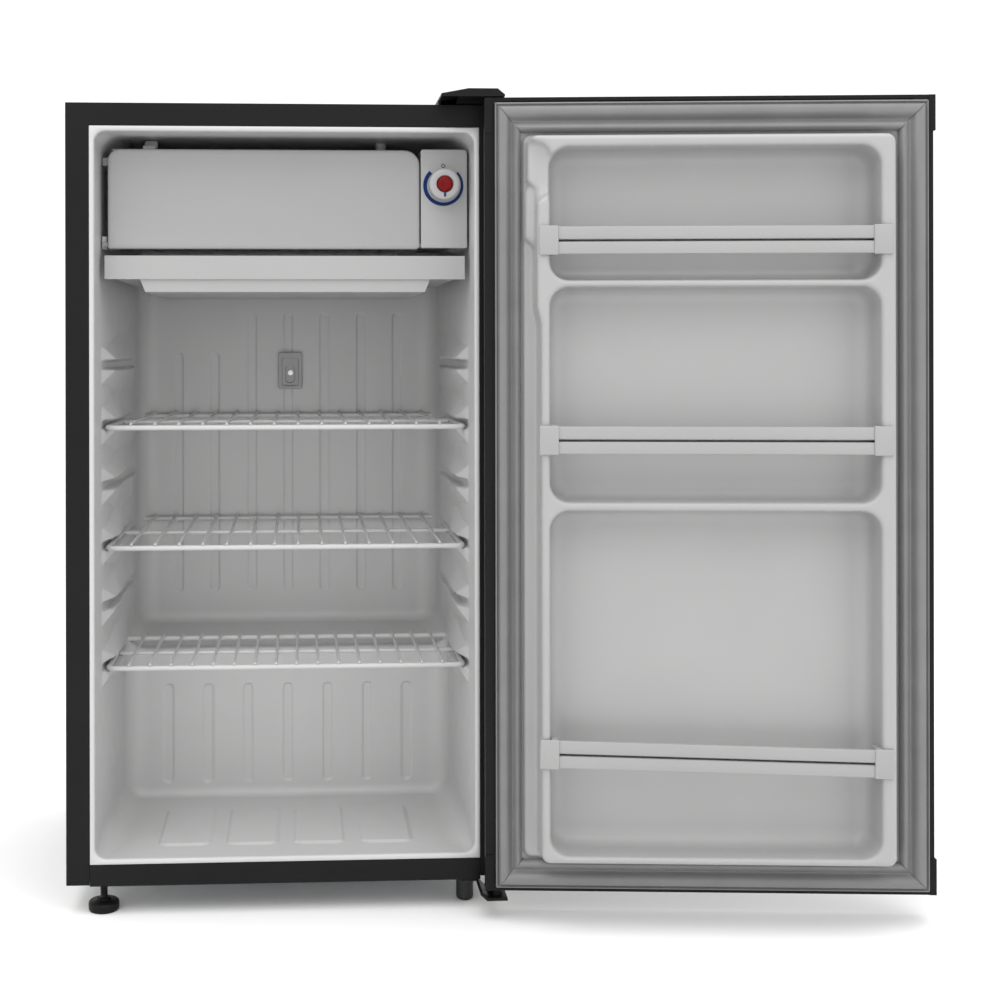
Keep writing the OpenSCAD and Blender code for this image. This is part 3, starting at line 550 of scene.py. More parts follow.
LOOKS = {
    "shell_paint": painted_steel("satin_black_paint", 0.008, 0.38),
    "galvanised": galvanised_steel("galvanised_sheet"),
    "black_paint": painted_steel("black_enamel", 0.006, 0.4),
    # the cabinet's liner is the same white polystyrene as the door's liner; its lighter tone is painted light that
    # makes up for the shade inside the cavity
    "liner_plastic": moulded_plastic("liner_polystyrene", 0.50, 0.35, 0.002),
    "door_liner_plastic": moulded_plastic("door_liner_polystyrene", 0.345, 0.34, 0.002),
    "white_plastic": moulded_plastic("white_polystyrene", 0.335, 0.34, 0.002, 0.06),
    "flap_plastic": moulded_plastic("flap_polystyrene", 0.285, 0.34, 0.002, 0.06),
    "bar_plastic": moulded_plastic("bar_polystyrene", 0.31, 0.34, 0.002, 0.05),
    "matte_white_plastic": moulded_plastic("matte_white_polystyrene", 0.40, 0.45, 0.002, 0.16),
    "black_plastic": grained_plastic("grained_black_plastic", 0.006, 0.42),
    "foam": foam("rigid_foam"),
    "evaporator_aluminium": brushed_aluminium("roll_bond_aluminium"),
    "steel_fasteners": turned_steel("plated_steel"),
    "copper": copper_tube("copper_tube"),
    "gasket_rubber": rubber("grey_gasket_vinyl", 0.165, 0.42),
    "magnet_rubber": rubber("magnet_strip", 0.05, 0.6, 0.05),
    "black_rubber": rubber("black_rubber", 0.008, 0.55),
    "coated_wire": moulded_plastic("white_wire_coating", 0.50, 0.34, 0.002, 0.05),
    "blue_print": tinted_plastic("blue_ink", (0.004, 0.017, 0.085), (0.006, 0.028, 0.12), 0.45),
    "red_plastic": tinted_plastic("red_plastic", (0.13, 0.003, 0.003), (0.18, 0.006, 0.006), 0.38),
    "bush_plastic": moulded_plastic("bush_nylon", 0.6, 0.4, 0.01),
}

for entry in frame["record"]["subparts"]:
    node = frame["nodes"][entry["node"]]
    node.data.materials.clear()
    node.data.materials.append(LOOKS[entry["material_slot"]])


# ---------------------------------------------------------------- cabinet liner
def side_wall(y):
    """Half width of the cavity at a depth."""
    return CAVITY_X - CAVITY_DRAFT * y / CAVITY_Y


GUIDE_FRONT = 48.0  # where the shelf guides start
GUIDE_SLOPE = 34.0  # length of their front slope
GUIDE_REACH = 11.0  # how far they stand in
GUIDE_HEIGHT = 15.0
GROOVE_DEPTH = 1.6
RIPPLE_WIDTH = 11.5  # upright recesses of the back wall
RIPPLE_DEPTH = 1.2
RIPPLE_STEP = 52.0  # how much lower the short ones end


def tents(y, z):
    """How far the shelf guides stand in from a side wall: half a low pyramid above and below each groove."""
    out = 0
    fade = (1 - 0.55 * ramp(y, 95, 210)) * (1 - ramp(y, 240, 300))
    front = np.clip((y - GUIDE_FRONT) / GUIDE_SLOPE, 0, 1)
    height = GUIDE_HEIGHT + GUIDE_HEIGHT * ramp(y, 72, 165)
    for level in LEVELS:
        limit = 1 - ramp(y, LOWER_Y - 40, LOWER_Y - 10) if level < STEP_Z + 30 else 1
        off = np.where(z > level + 2, z - level - 9, level - 4 - z)
        beside = ramp(off, -3, 0)  # 0 in the groove, 1 beside it
        pyramid = soft_min(front, np.clip(1 - off / height, 0, 1), 0.12)
        stand = GUIDE_REACH * np.maximum(pyramid, 0) * beside
        groove = GROOVE_DEPTH * (1 - beside) * ramp(y, 46, 62)
        out = out + (stand - groove) * limit * fade
    return out


def ripples(x, z, pitch, low, high, short=0):
    """Seven shallow upright recesses with round ends; the first few may be short."""
    out = 0
    for i in range(7):
        middle = (i - 3) * pitch
        top = high - RIPPLE_STEP if i < short else high
        half = RIPPLE_WIDTH / 2
        slot = plate(x, z, middle - half, low, middle + half, top, half - 0.5)
        out = np.maximum(out, RIPPLE_DEPTH * (1 - ramp(slot, -1.4, 1.0)))
    return out


PADS = (-113.5, -38.2, 36.5, 112.3)  # middles of the raised pads on the floor
PAD_HALF = 28.0
PAD_Y0, PAD_Y1 = 50.0, 176.0
PAD_RISE = 2.0


def cavity(x, y, z):
    """Air space of the cabinet."""
    pads = 0
    for middle in PADS:
        pad = plate(x, y, middle - PAD_HALF, PAD_Y0, middle + PAD_HALF, PAD_Y1, 9)
        pads = np.maximum(pads, PAD_RISE * (1 - ramp(pad, -2, 1.5)))
    lower_back = LOWER_Y + ripples(x, z, 49.0, FLOOR_Z + 17, FLOOR_Z + 137.5)
    upper_back = CAVITY_Y + ripples(x, z, 47.8, FLOOR_Z + 234, FLOOR_Z + 598, short=2)
    step = STEP_Z + STEP_RISE * (y - LOWER_Y) / (CAVITY_Y - LOWER_Y)
    lower = soft_max(y - lower_back, FLOOR_Z + pads - z, 12)
    upper = soft_max(y - upper_back, step - z, 14)
    section = soft_min(lower, upper, 10)
    section = soft_max(section, z - CEILING_Z, 24)  # fillet behind the ceiling
    across = np.abs(x) - side_wall(y) + tents(y, z)
    return soft_max(across, section, 13 + 14 * ramp(y, 6, 70))


def outline_at(inset, y, radius):
    """Front outline of the liner, inset from the opening's edge."""
    edge = OPEN_X - inset
    flat = rounded_outline(-edge, OPEN_Z0 + inset, edge, OPEN_Z1 - inset, [radius] * 4, 10)
    return [(x, y, z) for x, z in flat]


def make_liner():
    """The cavity, and the rim round its mouth swept along (inset, depth, corner radius)."""
    mesh = skin("inner_liner_skin", cavity, (-216, 0.8, FLOOR_Z - 8), (216, CAVITY_Y + 8, CEILING_Z + 8),
                2.6, TO_FRAME, flip=True)
    bm = bmesh.new()
    rim = [(0.15, 2.0, 1.0), (0.15, 0.5, 1.0), (0.7, 0.0, 1.4), (3.2, 0.0, 9.0), (4.6, 0.7, 11.0),
           (5.4, 2.2, 12.0), (5.6, 5.0, 12.4), (4.6, 9.0, 12.0)]
    for outer, inner in zip(rim, rim[1:]):
        behind = [bm.verts.new(p) for p in outline_at(*inner)]
        ahead = [bm.verts.new(p) for p in outline_at(*outer)]
        bridge(bm, behind, ahead)
    bmesh.ops.remove_doubles(bm, verts=bm.verts, dist=0.0005)
    rim_mesh = mesh_from(bm, "inner_liner_rim", TO_FRAME)
    new_object("liner_rim", rim_mesh, "cabinet", slot="liner_plastic", smooth=50)
    new_object("liner", mesh, "cabinet", ["inner_liner"], "liner_plastic", 0)


SHIELD_X0, SHIELD_X1 = -13.0, 18.4  # cover over the thermostat's probe
SHIELD_Z1 = OPEN_Z1 - 246
SHIELD_Z0 = SHIELD_Z1 - 48


def probe_shield(x, y, z):
    """A plate with a stepped recess round its screw."""
    front = soft_max(plate(x, z, SHIELD_X0, SHIELD_Z0, SHIELD_X1, SHIELD_Z1, 3), CAVITY_Y - 5 - y, 1.4)
    recess = soft_max(plate(x, z, -8, SHIELD_Z0 + 4, 13.4, SHIELD_Z1 - 8, 2.5), y - CAVITY_Y + 3.4, 1.0)
    well = soft_max(plate(x, z, -3.6, SHIELD_Z0 + 8, 8.4, SHIELD_Z1 - 17, 5), y - CAVITY_Y + 2.0, 1.0)
    return soft_max(soft_max(front, -recess, 1.0), -well, 1.0)


def make_probe_shield():
    mesh = skin("probe_cover_skin", probe_shield, (SHIELD_X0 - 1.6, CAVITY_Y - 6.6, SHIELD_Z0 - 1.6),
                (SHIELD_X1 + 1.8, CAVITY_Y + 0.4, SHIELD_Z1 + 1.8), 0.6, TO_FRAME)
    new_object("probe_shield", mesh, "cabinet", ["probe_cover"], "white_plastic", 0)


# ---------------------------------------------------------------- door liner
PLATE_Y = DOOR_BACK + 2.0  # flange under the gasket
OUTER_STEP_Y = DOOR_BACK + 6.0
STEP_X = 195.2  # low step inside the gasket
STEP_LOW = DOOR_Z0 + 38.4
STEP_HIGH = DOOR_Z1 - 41.2
POCKET_Y = DOOR_BACK - 3.6
POCKET_X = 168.0
DYKE_X = 181.5  # outer side of the dyke, hinge side
DYKE_FREE_X = 187.5  # and on the free side
DYKE_LOW = DOOR_Z0 + 40
DYKE_HIGH = DOOR_Z1 - 43.5
POCKET_ROUND = 20.0  # corner radius of the pockets
POCKETS = ((DOOR_Z0 + 51.9, DOOR_Z0 + 406), (DOOR_Z0 + 419, DOOR_Z0 + 638.5),
           (DOOR_Z0 + 649.5, DOOR_Z1 - 59.5))
SCOOP_Z = OPEN_Z1 - 86.0  # relief beside the thermostat knob
SCOOP_TOP = DOOR_Z1 - 52.0
WIDE_Z = DOOR_Z1 - 233.0  # the dyke is a little wider above this
WIDEST_Z = DOOR_Z1 - 96.0  # and reaches the step beside the knob
BLOCK_Z = (OPEN_Z1 - 132.0, OPEN_Z1 - 66.0)


def door_moulding(x, y, z):
    """The vacuum-formed inside of the door, solid towards the foam."""
    step = soft_max(plate(x, z, -STEP_X, STEP_LOW, STEP_X, STEP_HIGH, 8), y - OUTER_STEP_Y, 3)
    lean = 0.06 * (y - DOOR_BACK)
    hinge_side = DYKE_X + 4 * ramp(z, WIDE_Z - 12, WIDE_Z + 12) + 8 * ramp(z, WIDEST_Z - 6, WIDEST_Z + 6)
    flank = plate(x, z, -DYKE_FREE_X + lean, DYKE_LOW + lean, hinge_side - lean, DYKE_HIGH - lean, 9)
    dyke = soft_max(flank, y - CREST + 0.2, 6)
    scoop = soft_max(soft_max(168 - x, soft_max(SCOOP_Z - z, z - SCOOP_TOP, 10), 22), 13.5 - y, 12)
    dyke = soft_max(dyke, -scoop, 6)
    lump = plate(x, z, 160, BLOCK_Z[0] + lean, 195.0 - lean, BLOCK_Z[1] - lean, 11)
    block_top = soft_max(lump, y - 6.5, 9)
    solid = soft_min(soft_min(y - PLATE_Y, step, 4), soft_min(dyke, block_top, 6), 5)
    for low, high in POCKETS:
        splay = 0.05 * (y - POCKET_Y)
        hole = plate(x, z, -POCKET_X - splay, low - splay, POCKET_X + splay, high + splay, POCKET_ROUND)
        solid = soft_max(solid, -soft_max(hole, POCKET_Y - y, 18), 5)
    return solid


def make_door_liner():
    mesh = skin("door_liner_skin", door_moulding, (-229, DOOR_BACK - 10, DOOR_Z0 + 9),
                (224, CREST + 6, DOOR_Z1 - 9), 2.4, DOOR_TO_FRAME)
    new_object("door_moulding", mesh, "door", ["door_liner"], "door_liner_plastic", 0)


DOOR_FACE = DOOR_BACK - 34.5  # the door's outer face
GRIP_Z = (497, 643)  # the recessed grip in the door's free edge


def door_core(x, y, z):
    """Foam of the door, kept clear of the skins round it."""
    slab = soft_max(plate(x, z, -HALF + 2, DOOR_Z0 + 18, HALF - 2, DOOR_Z1 - 18, 3), DOOR_FACE + 2 - y, 2)
    grip = soft_max(plate(x, z, -HALF + 7, GRIP_Z[0], -HALF + 49, GRIP_Z[1], 4), y - DOOR_FACE - 22, 2)
    return soft_max(soft_max(door_moulding(x, y, z) + 4, slab, 1), -grip, 1)


def make_door_core():
    mesh = skin("door_core_skin", door_core, (-HALF - 4, DOOR_FACE - 4, DOOR_Z0 + 10),
                (HALF + 4, CREST + 6, DOOR_Z1 - 10), 4.5, DOOR_TO_FRAME)
    new_object("door_core", mesh, "door", ["door_insulation"], "foam", 0)


# ---------------------------------------------------------------- door gasket
GASKET_OUTER = (-HALF + 6.7, DOOR_Z0 + 5.2, HALF - 10.6, DOOR_Z1 - 6.2)
GASKET_WIDTH = 29.5
WELD = 1.1  # half width of the welds at the corners
WELD_DEPTH = 0.9
GASKET_INNER = (-STEP_X - 2.8, STEP_LOW - 2.8, STEP_X + 2.8, STEP_HIGH + 2.8)


def make_gasket():
    """Magnetic seal: one profile (distance in from its edge, height) swept round with mitred corners."""
    lip = [(1.0, 0.2), (0.2, 1.4), (0.0, 3.4), (0.6, 5.4), (1.5, 5.8), (2.4, 4.4), (3.2, 4.0)]
    magnet_bead = [(3.9, 5.6), (4.5, 7.6), (5.2, 9.0), (7.2, 9.8), (10.5, 9.9), (13.6, 9.2), (16.0, 6.4)]
    fold = [(17.6, 4.6), (19.2, 4.2), (20.8, 5.6)]
    inner_bead = [(22.6, 8.0), (25.0, 9.0), (27.0, 8.4), (28.6, 6.6), (29.3, 4.2), (29.5, 2.0), (29.2, 0.2)]
    profile = lip + magnet_bead + fold + inner_bead
    bm = bmesh.new()
    loops = []
    for inset, height in profile:
        share = inset / GASKET_WIDTH
        x0, z0, x1, z1 = (a * (1 - share) + b * share for a, b in zip(GASKET_OUTER, GASKET_INNER))
        corners = (((x0, z0), (0, 1), (1, 0)), ((x1, z0), (-1, 0), (0, 1)),
                   ((x1, z1), (0, -1), (-1, 0)), ((x0, z1), (1, 0), (0, -1)))
        loop = []
        for (x, z), before, after in corners:
            # the weld at each mitre is a shallow groove
            loop.append(bm.verts.new((x + WELD * before[0], PLATE_Y + height, z + WELD * before[1])))
            loop.append(bm.verts.new((x, PLATE_Y + height - WELD_DEPTH, z)))
            loop.append(bm.verts.new((x + WELD * after[0], PLATE_Y + height, z + WELD * after[1])))
        loops.append(loop)
    count = len(loops[0])
    for a, b in zip(loops, loops[1:] + loops[:1]):
        for k in range(count):
            bm.faces.new((a[k], b[k], b[(k + 1) % count], a[(k + 1) % count]))
    mesh = mesh_from(bm, "door_gasket_skin", DOOR_TO_FRAME, outward=True)
    new_object("door_seal", mesh, "door", ["door_gasket"], "gasket_rubber", 40)


# ---------------------------------------------------------------- wire shelves
FRAME_WIRE = 2.9  # radii of the shelves' wires
CROSS_WIRE = 2.4
THIN_WIRE = 1.75


def make_shelf(name, body, count):
    """A bent frame, one cross wire, and thin wires laid over both whose ends turn down."""
    low, high = box_of(name)
    z = low.z + 2.5
    side, front, back = high.x - 0.6, low.y + 2.5, high.y - 2.5
    corners = [(-side, front, z), (side, front, z), (side, back, z), (-side, back, z)]
    bm = bmesh.new()
    tube(bm, rounded_path(corners, 9, True), FRAME_WIRE, 12, True)
    middle = (front + back) / 2
    tube(bm, [(-side, middle, z - 0.4), (side, middle, z - 0.4)], CROSS_WIRE)
    over = z + FRAME_WIRE + THIN_WIRE * 0.8
    for i in range(1, count + 1):
        x = -side + i * 2 * side / (count + 1)
        line = [(x, back + 1.5, z - 1.0), (x, back + 1.8, over - 1.2), (x, back - 2, over),
                (x, front + 2.5, over), (x, front - 0.8, over - 0.2), (x, front - 1.8, over - 1.4)]
        tube(bm, rounded_path(line, 3, steps=3), THIN_WIRE, 8)
    mesh = mesh_from(bm, name + "_mesh", TO_FRAME)
    piece = name.replace("shelf", "wire_shelf")
    new_object(piece, mesh, body, [name], "coated_wire", 50)


# ---------------------------------------------------------------- ice box front
FLAP_X0, FLAP_X1 = -195.8, 148.9
FLAP_LOW, FLAP_TOP = 111.4, 1.0  # its edges, down from the top of the CAD part
FLAP_DEPTH = 14.0
FLAP_CORNERS = (3.0, 4.5, 17.0, 13.0)
PIVOT_PIN = 3.2  # radius


def make_flap():
    """Tray-shaped door of the ice box, with three ribs inside and two pins at its low edge."""
    low, high = box_of("freezer_flap")
    z0, z1 = high.z - FLAP_LOW, high.z - FLAP_TOP
    y0, y1 = low.y, low.y + FLAP_DEPTH

    def outline(inset):
        return rounded_outline(FLAP_X0 + inset, z0 + inset, FLAP_X1 - inset, z1 - inset,
                               [max(r - inset, 0.6) for r in FLAP_CORNERS])

    bm = bmesh.new()
    front = [(outline(0.0), y1), (outline(0.0), y0 + 2.2), (outline(0.35), y0 + 0.9),
             (outline(1.0), y0 + 0.3), (outline(2.2), y0), (outline(6.0), y0), (outline(7.0), y0 + 0.35)]
    back = [(outline(9.0), y0 + 2.6), (outline(3.6), y0 + 2.8), (outline(2.6), y0 + 4.0),
            (outline(2.6), y1)]
    moulding(bm, front)
    moulding(bm, back)
    top = [f for f in bm.faces if len(f.verts) > 4 and f.calc_center_median().y > y1 - 1]
    bmesh.ops.delete(bm, geom=top, context="FACES")
    # the two skins meet in the rim round the back
    lips = [v for v in bm.verts if abs(v.co.y - y1) < 0.01]
    count = len(lips) // 2
    for k in range(count):
        a, b = lips[k], lips[(k + 1) % count]
        c, d = lips[count + (k + 1) % count], lips[count + k]
        bm.faces.new((a, b, c, d))
    for x in (FLAP_X0 + 90, FLAP_X0 + 172, FLAP_X1 - 90):
        block(bm, (x, y0 + 2, z0 + 2), (x + 2, y0 + 12, z1 - 2), 0.4, 2)
    for xa, xb in ((-CAVITY_X + 4.4, FLAP_X0 + 3), (FLAP_X1 - 3, FLAP_X1 + 3)):
        tube(bm, [(xa, y0 + 8, z0 + 5), (xb, y0 + 8, z0 + 5)], PIVOT_PIN, 24)
    mesh = mesh_from(bm, "freezer_flap_mesh", TO_FRAME, outward=True)
    new_object("ice_box_flap", mesh, "flap", ["freezer_flap"], "white_plastic", 40, LOOKS["flap_plastic"])


FRAME_FRONT, FRAME_BACK = 54.2, 61.0


def make_ice_box_frame():
    """Frame behind the flap, with the ear of its pivot, its catch and the tab to the ceiling."""
    low, high = box_of("evaporator_box")
    x0, x1, z0, z1 = low.x - 8, high.x + 7, low.z - 7, high.z - 1
    front, back, wall = FRAME_FRONT, FRAME_BACK, -CAVITY_X
    bm = bmesh.new()
    block(bm, (x0 + 3, front, z0 + 2), (x1 - 3, back, z0 + 14), 1.2)  # low rail
    block(bm, (x0 + 3, front, z1 - 5), (x1 - 22, back, z1 + 1), 1.2)  # high rail
    block(bm, (x0 + 3, front, z0 + 4), (x0 + 14, back, z1), 1.2)  # left post
    block(bm, (x1 - 16, front, z0 + 4), (x1 - 5, back, z1 - 16), 1.2)  # right post
    block(bm, (wall + 2.8, 46, z0 - 1), (wall + 8.4, 60, z0 + 13), 1.0)  # ear of the pivot
    block(bm, (wall + 4, front, z0 + 2), (x0 + 12, 60, z0 + 13), 0.8)
    block(bm, (wall + 2.6, front, z1 - 18), (x0 + 12, 60, z1 - 9), 1.0)  # catch
    block(bm, (x0 + 37, front + 1, z1 - 2), (x0 + 51, back + 22, z1 + 5), 1.0)  # tab to the ceiling
    block(bm, (x0 + 37, back + 16, z1 + 2), (x0 + 51, back + 22, CEILING_Z - 1), 1.0)
    mesh = mesh_from(bm, "freezer_frame_mesh", TO_FRAME)
    new_object("ice_box_frame", mesh, "cabinet", ["freezer_frame"], "matte_white_plastic", 40)


HOUSING_CORNERS = (1.8, 2.2, 5.0, 2.2)
HOUSING_WALL = 2.0


def make_housing():
    """Cover of the thermostat: a shell open at the back, its front face rounded at the edges."""
    low, high = box_of("thermostat_housing")
    x0, x1, z0, z1 = low.x, high.x - 1.6, low.z, high.z
    y0, y1, wall = low.y, high.y, HOUSING_WALL

    def outline(inset):
        radii = [max(r - inset, 0.5) for r in HOUSING_CORNERS]
        return rounded_outline(x0 + inset, z0 + inset, x1 - inset, z1 - inset, radii)

    bm = bmesh.new()
    outside = [(outline(1.3), y0), (outline(0.5), y0 + 0.25), (outline(0.1), y0 + 0.8),
               (outline(0.0), y0 + 1.6), (outline(0.4), y1)]
    inside = [(outline(wall), y1), (outline(wall), y0 + wall)]
    moulding(bm, outside + inside)
    mesh = mesh_from(bm, "housing_mesh", TO_FRAME)
    new_object("dial_housing", mesh, "cabinet", ["thermostat_housing"], "white_plastic", 40)


def make_housing_screw():
    low, high = box_of("housing_screws")
    length = high.y - low.y
    x, _, z = middle_of("housing_screws")
    bm = bmesh.new()
    screw = [(0, length), (1.2, length), (1.8, 13.0), (1.8, 8.4), (3.6, 8.0), (3.6, 6.6), (2.6, 5.6),
             (0, 5.4)]
    lathe(bm, screw, (x, low.y, z), "Y", 32)
    mesh = mesh_from(bm, "housing_screw_mesh", TO_FRAME, outward=True)
    new_object("hidden_housing_screw", mesh, "cabinet", ["housing_screws"], "steel_fasteners", 35)


ARC_START, ARC_SWEEP = 133, 271  # degrees
ARC_GAP = 5.3  # from the knob to the arc's outer edge
ARC_WIDTH = 4.3  # where it starts
ARC_TAPER = 2.0
INK = 0.5  # thickness
OFF_RING = 1.9  # radius of the ring over the off position


def make_dial_ring():
    """Printed arc that thins as it goes round the dial, and a small ring over the off position."""
    low, high = box_of("thermostat_knob")
    x, _, z = middle_of("thermostat_knob")
    face = box_of("dial_markings")[0].y
    outer = (high.x - low.x) / 2 + ARC_GAP
    bm = bmesh.new()
    rows = []
    steps = 72
    for k in range(steps + 1):
        t = k / steps
        a = math.radians(ARC_START + ARC_SWEEP * t)
        inner = outer - ARC_WIDTH + ARC_TAPER * t ** 2
        row = []
        for r, y in ((inner, face), (outer, face), (outer, face + INK), (inner, face + INK)):
            row.append(bm.verts.new((x + r * math.cos(a), y, z + r * math.sin(a))))
        rows.append(row)
    for a, b in zip(rows, rows[1:]):
        bridge(bm, a, b)
    bm.faces.new(rows[0])
    bm.faces.new(rows[-1][::-1])
    ring = []
    for k in range(24):
        a = 2 * math.pi * k / 24
        ring.append((x + OFF_RING * math.cos(a), face + 0.2, z + outer - 0.4 + OFF_RING * math.sin(a)))
    tube(bm, ring, 0.35, 6, True)
    mesh = mesh_from(bm, "dial_ring_mesh", TO_FRAME, outward=True)
    new_object("dial_ring", mesh, "cabinet", ["dial_markings"], "blue_print", 40)


# ---------------------------------------------------------------- knob, button and feet
RIDGES = 36  # round the knob
RIDGE_RADIUS = 0.45


def make_dial():
    """Knob: a ridged ring with a well for the button and a stem behind."""
    low, high = box_of("thermostat_knob")
    x, _, z = middle_of("thermostat_knob")
    r, y0 = (high.x - low.x) / 2, low.y
    bm = bmesh.new()
    rim = [(9.0, 12.2), (9.0, 1.4), (9.5, 0.5), (10.6, 0.1), (r - 3.0, 0.0), (r - 1.2, 0.5), (r - 0.3, 1.5),
           (r, 3.0), (r, 10.6), (r - 0.5, 12.0), (r - 1.6, 12.4), (r - 1.6, 18.5), (3.2, 18.5), (3.2, 12.2)]
    lathe(bm, rim, (x, y0, z), "Y")
    for i in range(RIDGES):
        a = math.radians(360 / RIDGES * i)
        rx, rz = math.cos(a) * (r - 0.1), math.sin(a) * (r - 0.1)
        tube(bm, [(x + rx, y0 + 3.6, z + rz), (x + rx, y0 + 10.2, z + rz)], RIDGE_RADIUS, 6)
    mesh = mesh_from(bm, "thermostat_knob_mesh", TO_FRAME, outward=True)
    new_object("dial_knob", mesh, "knob", ["thermostat_knob"], "white_plastic", 40)


def make_button():
    """Red cap in the knob's well, hollowed a little at its middle."""
    low, high = box_of("defrost_button")
    x, _, z = middle_of("thermostat_knob")
    bm = bmesh.new()
    cap = [(2.0, high.y - low.y), (2.0, 11.6), (8.6, 11.4), (8.6, 3.0), (8.3, 1.8), (7.4, 0.8), (6.0, 0.3),
           (4.6, 0.15), (3.0, 0.5), (0.0, 0.8)]
    lathe(bm, cap, (x, low.y, z), "Y", 48)
    mesh = mesh_from(bm, "defrost_button_mesh", TO_FRAME, outward=True)
    new_object("red_button", mesh, "button", ["defrost_button"], "red_plastic", 40)


COLLAR_TOP = 13.5  # top of the six-sided collar on the foot's pad
THREAD_PITCH = 1.25
THREAD_ROOT, THREAD_CREST = 3.3, 4.0  # radii


def make_pad():
    """Round foot with a six-sided collar."""
    x, y, _ = middle_of("foot_pad")
    bm = bmesh.new()
    disc = [(0, 0), (14.6, 0), (15.8, 0.4), (16.4, 1.3), (16.6, 2.6), (16.6, 7.4), (16.3, 8.8), (15.4, 9.7),
            (14.0, 10.0), (9.4, 10.2), (8.8, 10.6), (0, 10.6)]
    lathe(bm, disc, (x, y, 0))
    collar = [(0, 9.2), (7.5, 9.2), (7.5, 12.8), (6.8, COLLAR_TOP), (0, COLLAR_TOP)]
    lathe(bm, collar, (x, y, 0), steps=6)
    mesh = mesh_from(bm, "foot_pad_mesh", TO_FRAME, outward=True)
    new_object("levelling_pad", mesh, "levelling_foot", ["foot_pad"], "black_plastic", 35)


def make_stud():
    """Threaded stud of the foot, drawn as rings; the hinge's screws are blackened like it."""
    low, high = box_of("foot_stud")
    x, y, _ = middle_of("foot_pad")
    bm = bmesh.new()
    profile = [(0, low.z), (3.4, low.z), (3.6, low.z + 4)]
    z = COLLAR_TOP
    while z + 1.5 < high.z:
        profile += [(THREAD_ROOT, z), (THREAD_CREST, z + 0.6), (THREAD_ROOT, z + 1.2)]
        z += THREAD_PITCH
    profile += [(THREAD_ROOT, high.z), (0, high.z)]
    lathe(bm, profile, (x, y, 0), steps=40)
    mesh = mesh_from(bm, "foot_stud_mesh", TO_FRAME, outward=True)
    blackened = turned_steel("blackened_steel", 0.06, 0.14)
    new_object("levelling_stud", mesh, "levelling_foot", ["foot_stud"], "steel_fasteners", 30, blackened)
    frame["nodes"]["lower_hinge_screws"].data.materials[0] = blackened


HINGE_PLATE = 3.0  # thickness of the plate under the corner
ARM_DROP = 6.7  # how far the arm steps down
ARM_LOW = 9.4  # the arm's underside, from the plate's top


def make_lower_hinge():
    """Bracket under the right corner: a plate over the fixed foot and an arm stepping down to the pin."""
    low, high = box_of("lower_hinge_bracket")
    pin = TO_FRAME.inverted() @ HINGE
    top = high.z - 12
    bm = bmesh.new()
    block(bm, (low.x, 3, top - HINGE_PLATE), (HALF - 28, high.y, top), 0.5)
    step, under = top - ARM_DROP, top - ARM_LOW
    arm = [(HALF - 30, top), (HALF - 27.5, top), (HALF - 20.5, step), (HALF - 0.6, step),
           (HALF - 0.6, under), (HALF - 22.5, under), (HALF - 29.5, top - HINGE_PLATE)]
    ends = [[bm.verts.new((x, y, z)) for x, z in arm] for y in (low.y, 6)]
    bridge(bm, ends[0], ends[1])
    bm.faces.new(ends[0][::-1])
    bm.faces.new(ends[1])
    collar = [(0, top - 8), (3.5, top - 8), (3.5, top - 7), (6.5, top - 7), (6.5, top + 0.5),
              (6.1, top + 0.9), (3.5, top + 0.9), (3.5, high.z - 0.8), (2.7, high.z), (0, high.z)]
    lathe(bm, collar, (pin.x, pin.y, 0), steps=40)
    mesh = mesh_from(bm, "lower_hinge_mesh", TO_FRAME, outward=True)
    new_object("lower_hinge", mesh, "cabinet", ["lower_hinge_bracket"], "black_paint", 30)


# ---------------------------------------------------------------- rack bars
RAIL_X = 168.0  # half length of the rails
RAILS = ((0, 12.4), (15.4, 28.5))  # low and high edge of each
SLOT_DEPTH = 10.0
SLOT_Z0, SLOT_Z1 = 11.0, 16.8
SLOT_WALL = 1.8
BRACKET_LOW, BRACKET_HIGH = 1, 29.5


def make_rack_bar(name, tilt):
    """Two rails parted by a slot, with a bracket hooked over the dyke at each end."""
    z0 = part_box(name)[0].z / MM + 1
    bm = bmesh.new()
    front, back = CREST + 1.5, CREST - 3.0
    for low_z, high_z in RAILS:
        block(bm, (-RAIL_X, back, z0 + low_z), (RAIL_X, front, z0 + high_z), 1.0)
    end = back - SLOT_DEPTH
    for low_z in (z0 + SLOT_Z0, z0 + SLOT_Z1 - SLOT_WALL):
        block(bm, (-RAIL_X, end, low_z), (RAIL_X, front - 0.8, low_z + SLOT_WALL), 0.3, 1)
    block(bm, (-RAIL_X, end - 1, z0 + SLOT_Z0), (RAIL_X, end + 0.5, z0 + SLOT_Z1), 0.2, 1)
    for side in (-1, 1):
        inner, outer, hook = side * 161.5, side * 181.5, side * 169.8
        x0, x1 = sorted((inner, outer))
        block(bm, (x0, CREST + 0.2, z0 - BRACKET_LOW), (x1, CREST + 3.0, z0 + BRACKET_HIGH), 1.2)
        x0, x1 = sorted((side * 163.0, hook))
        block(bm, (x0, CREST - 16, z0 - BRACKET_LOW), (x1, CREST + 1.5, z0 + BRACKET_HIGH), 1.0)
        x0, x1 = sorted((inner + side * 5.0, outer - side * 4.0))
        block(bm, (x0, CREST + 2.4, z0 + 3), (x1, CREST + 2.95, z0 + 25.5), 0.25, 2)
    middle = Vector((0, back, z0 + 14))
    turn = Matrix.Rotation(math.radians(tilt), 4, "Y")
    leaning = Matrix.Translation(middle) @ turn @ Matrix.Translation(-middle)
    bmesh.ops.transform(bm, matrix=leaning, verts=bm.verts)
    mesh = mesh_from(bm, name + "_mesh", DOOR_TO_FRAME)
    piece = name.replace("rack_bar", "bottle_bar")
    new_object(piece, mesh, "door", [name], "white_plastic", 40, LOOKS["bar_plastic"])


# ---------------------------------------------------------------- parts kept from the CAD
def merge_corners(node):
    """Join the corners that the CAD faces hold apart."""
    weld = node.modifiers.new("weld", "WELD")
    weld.merge_threshold = 0.00002


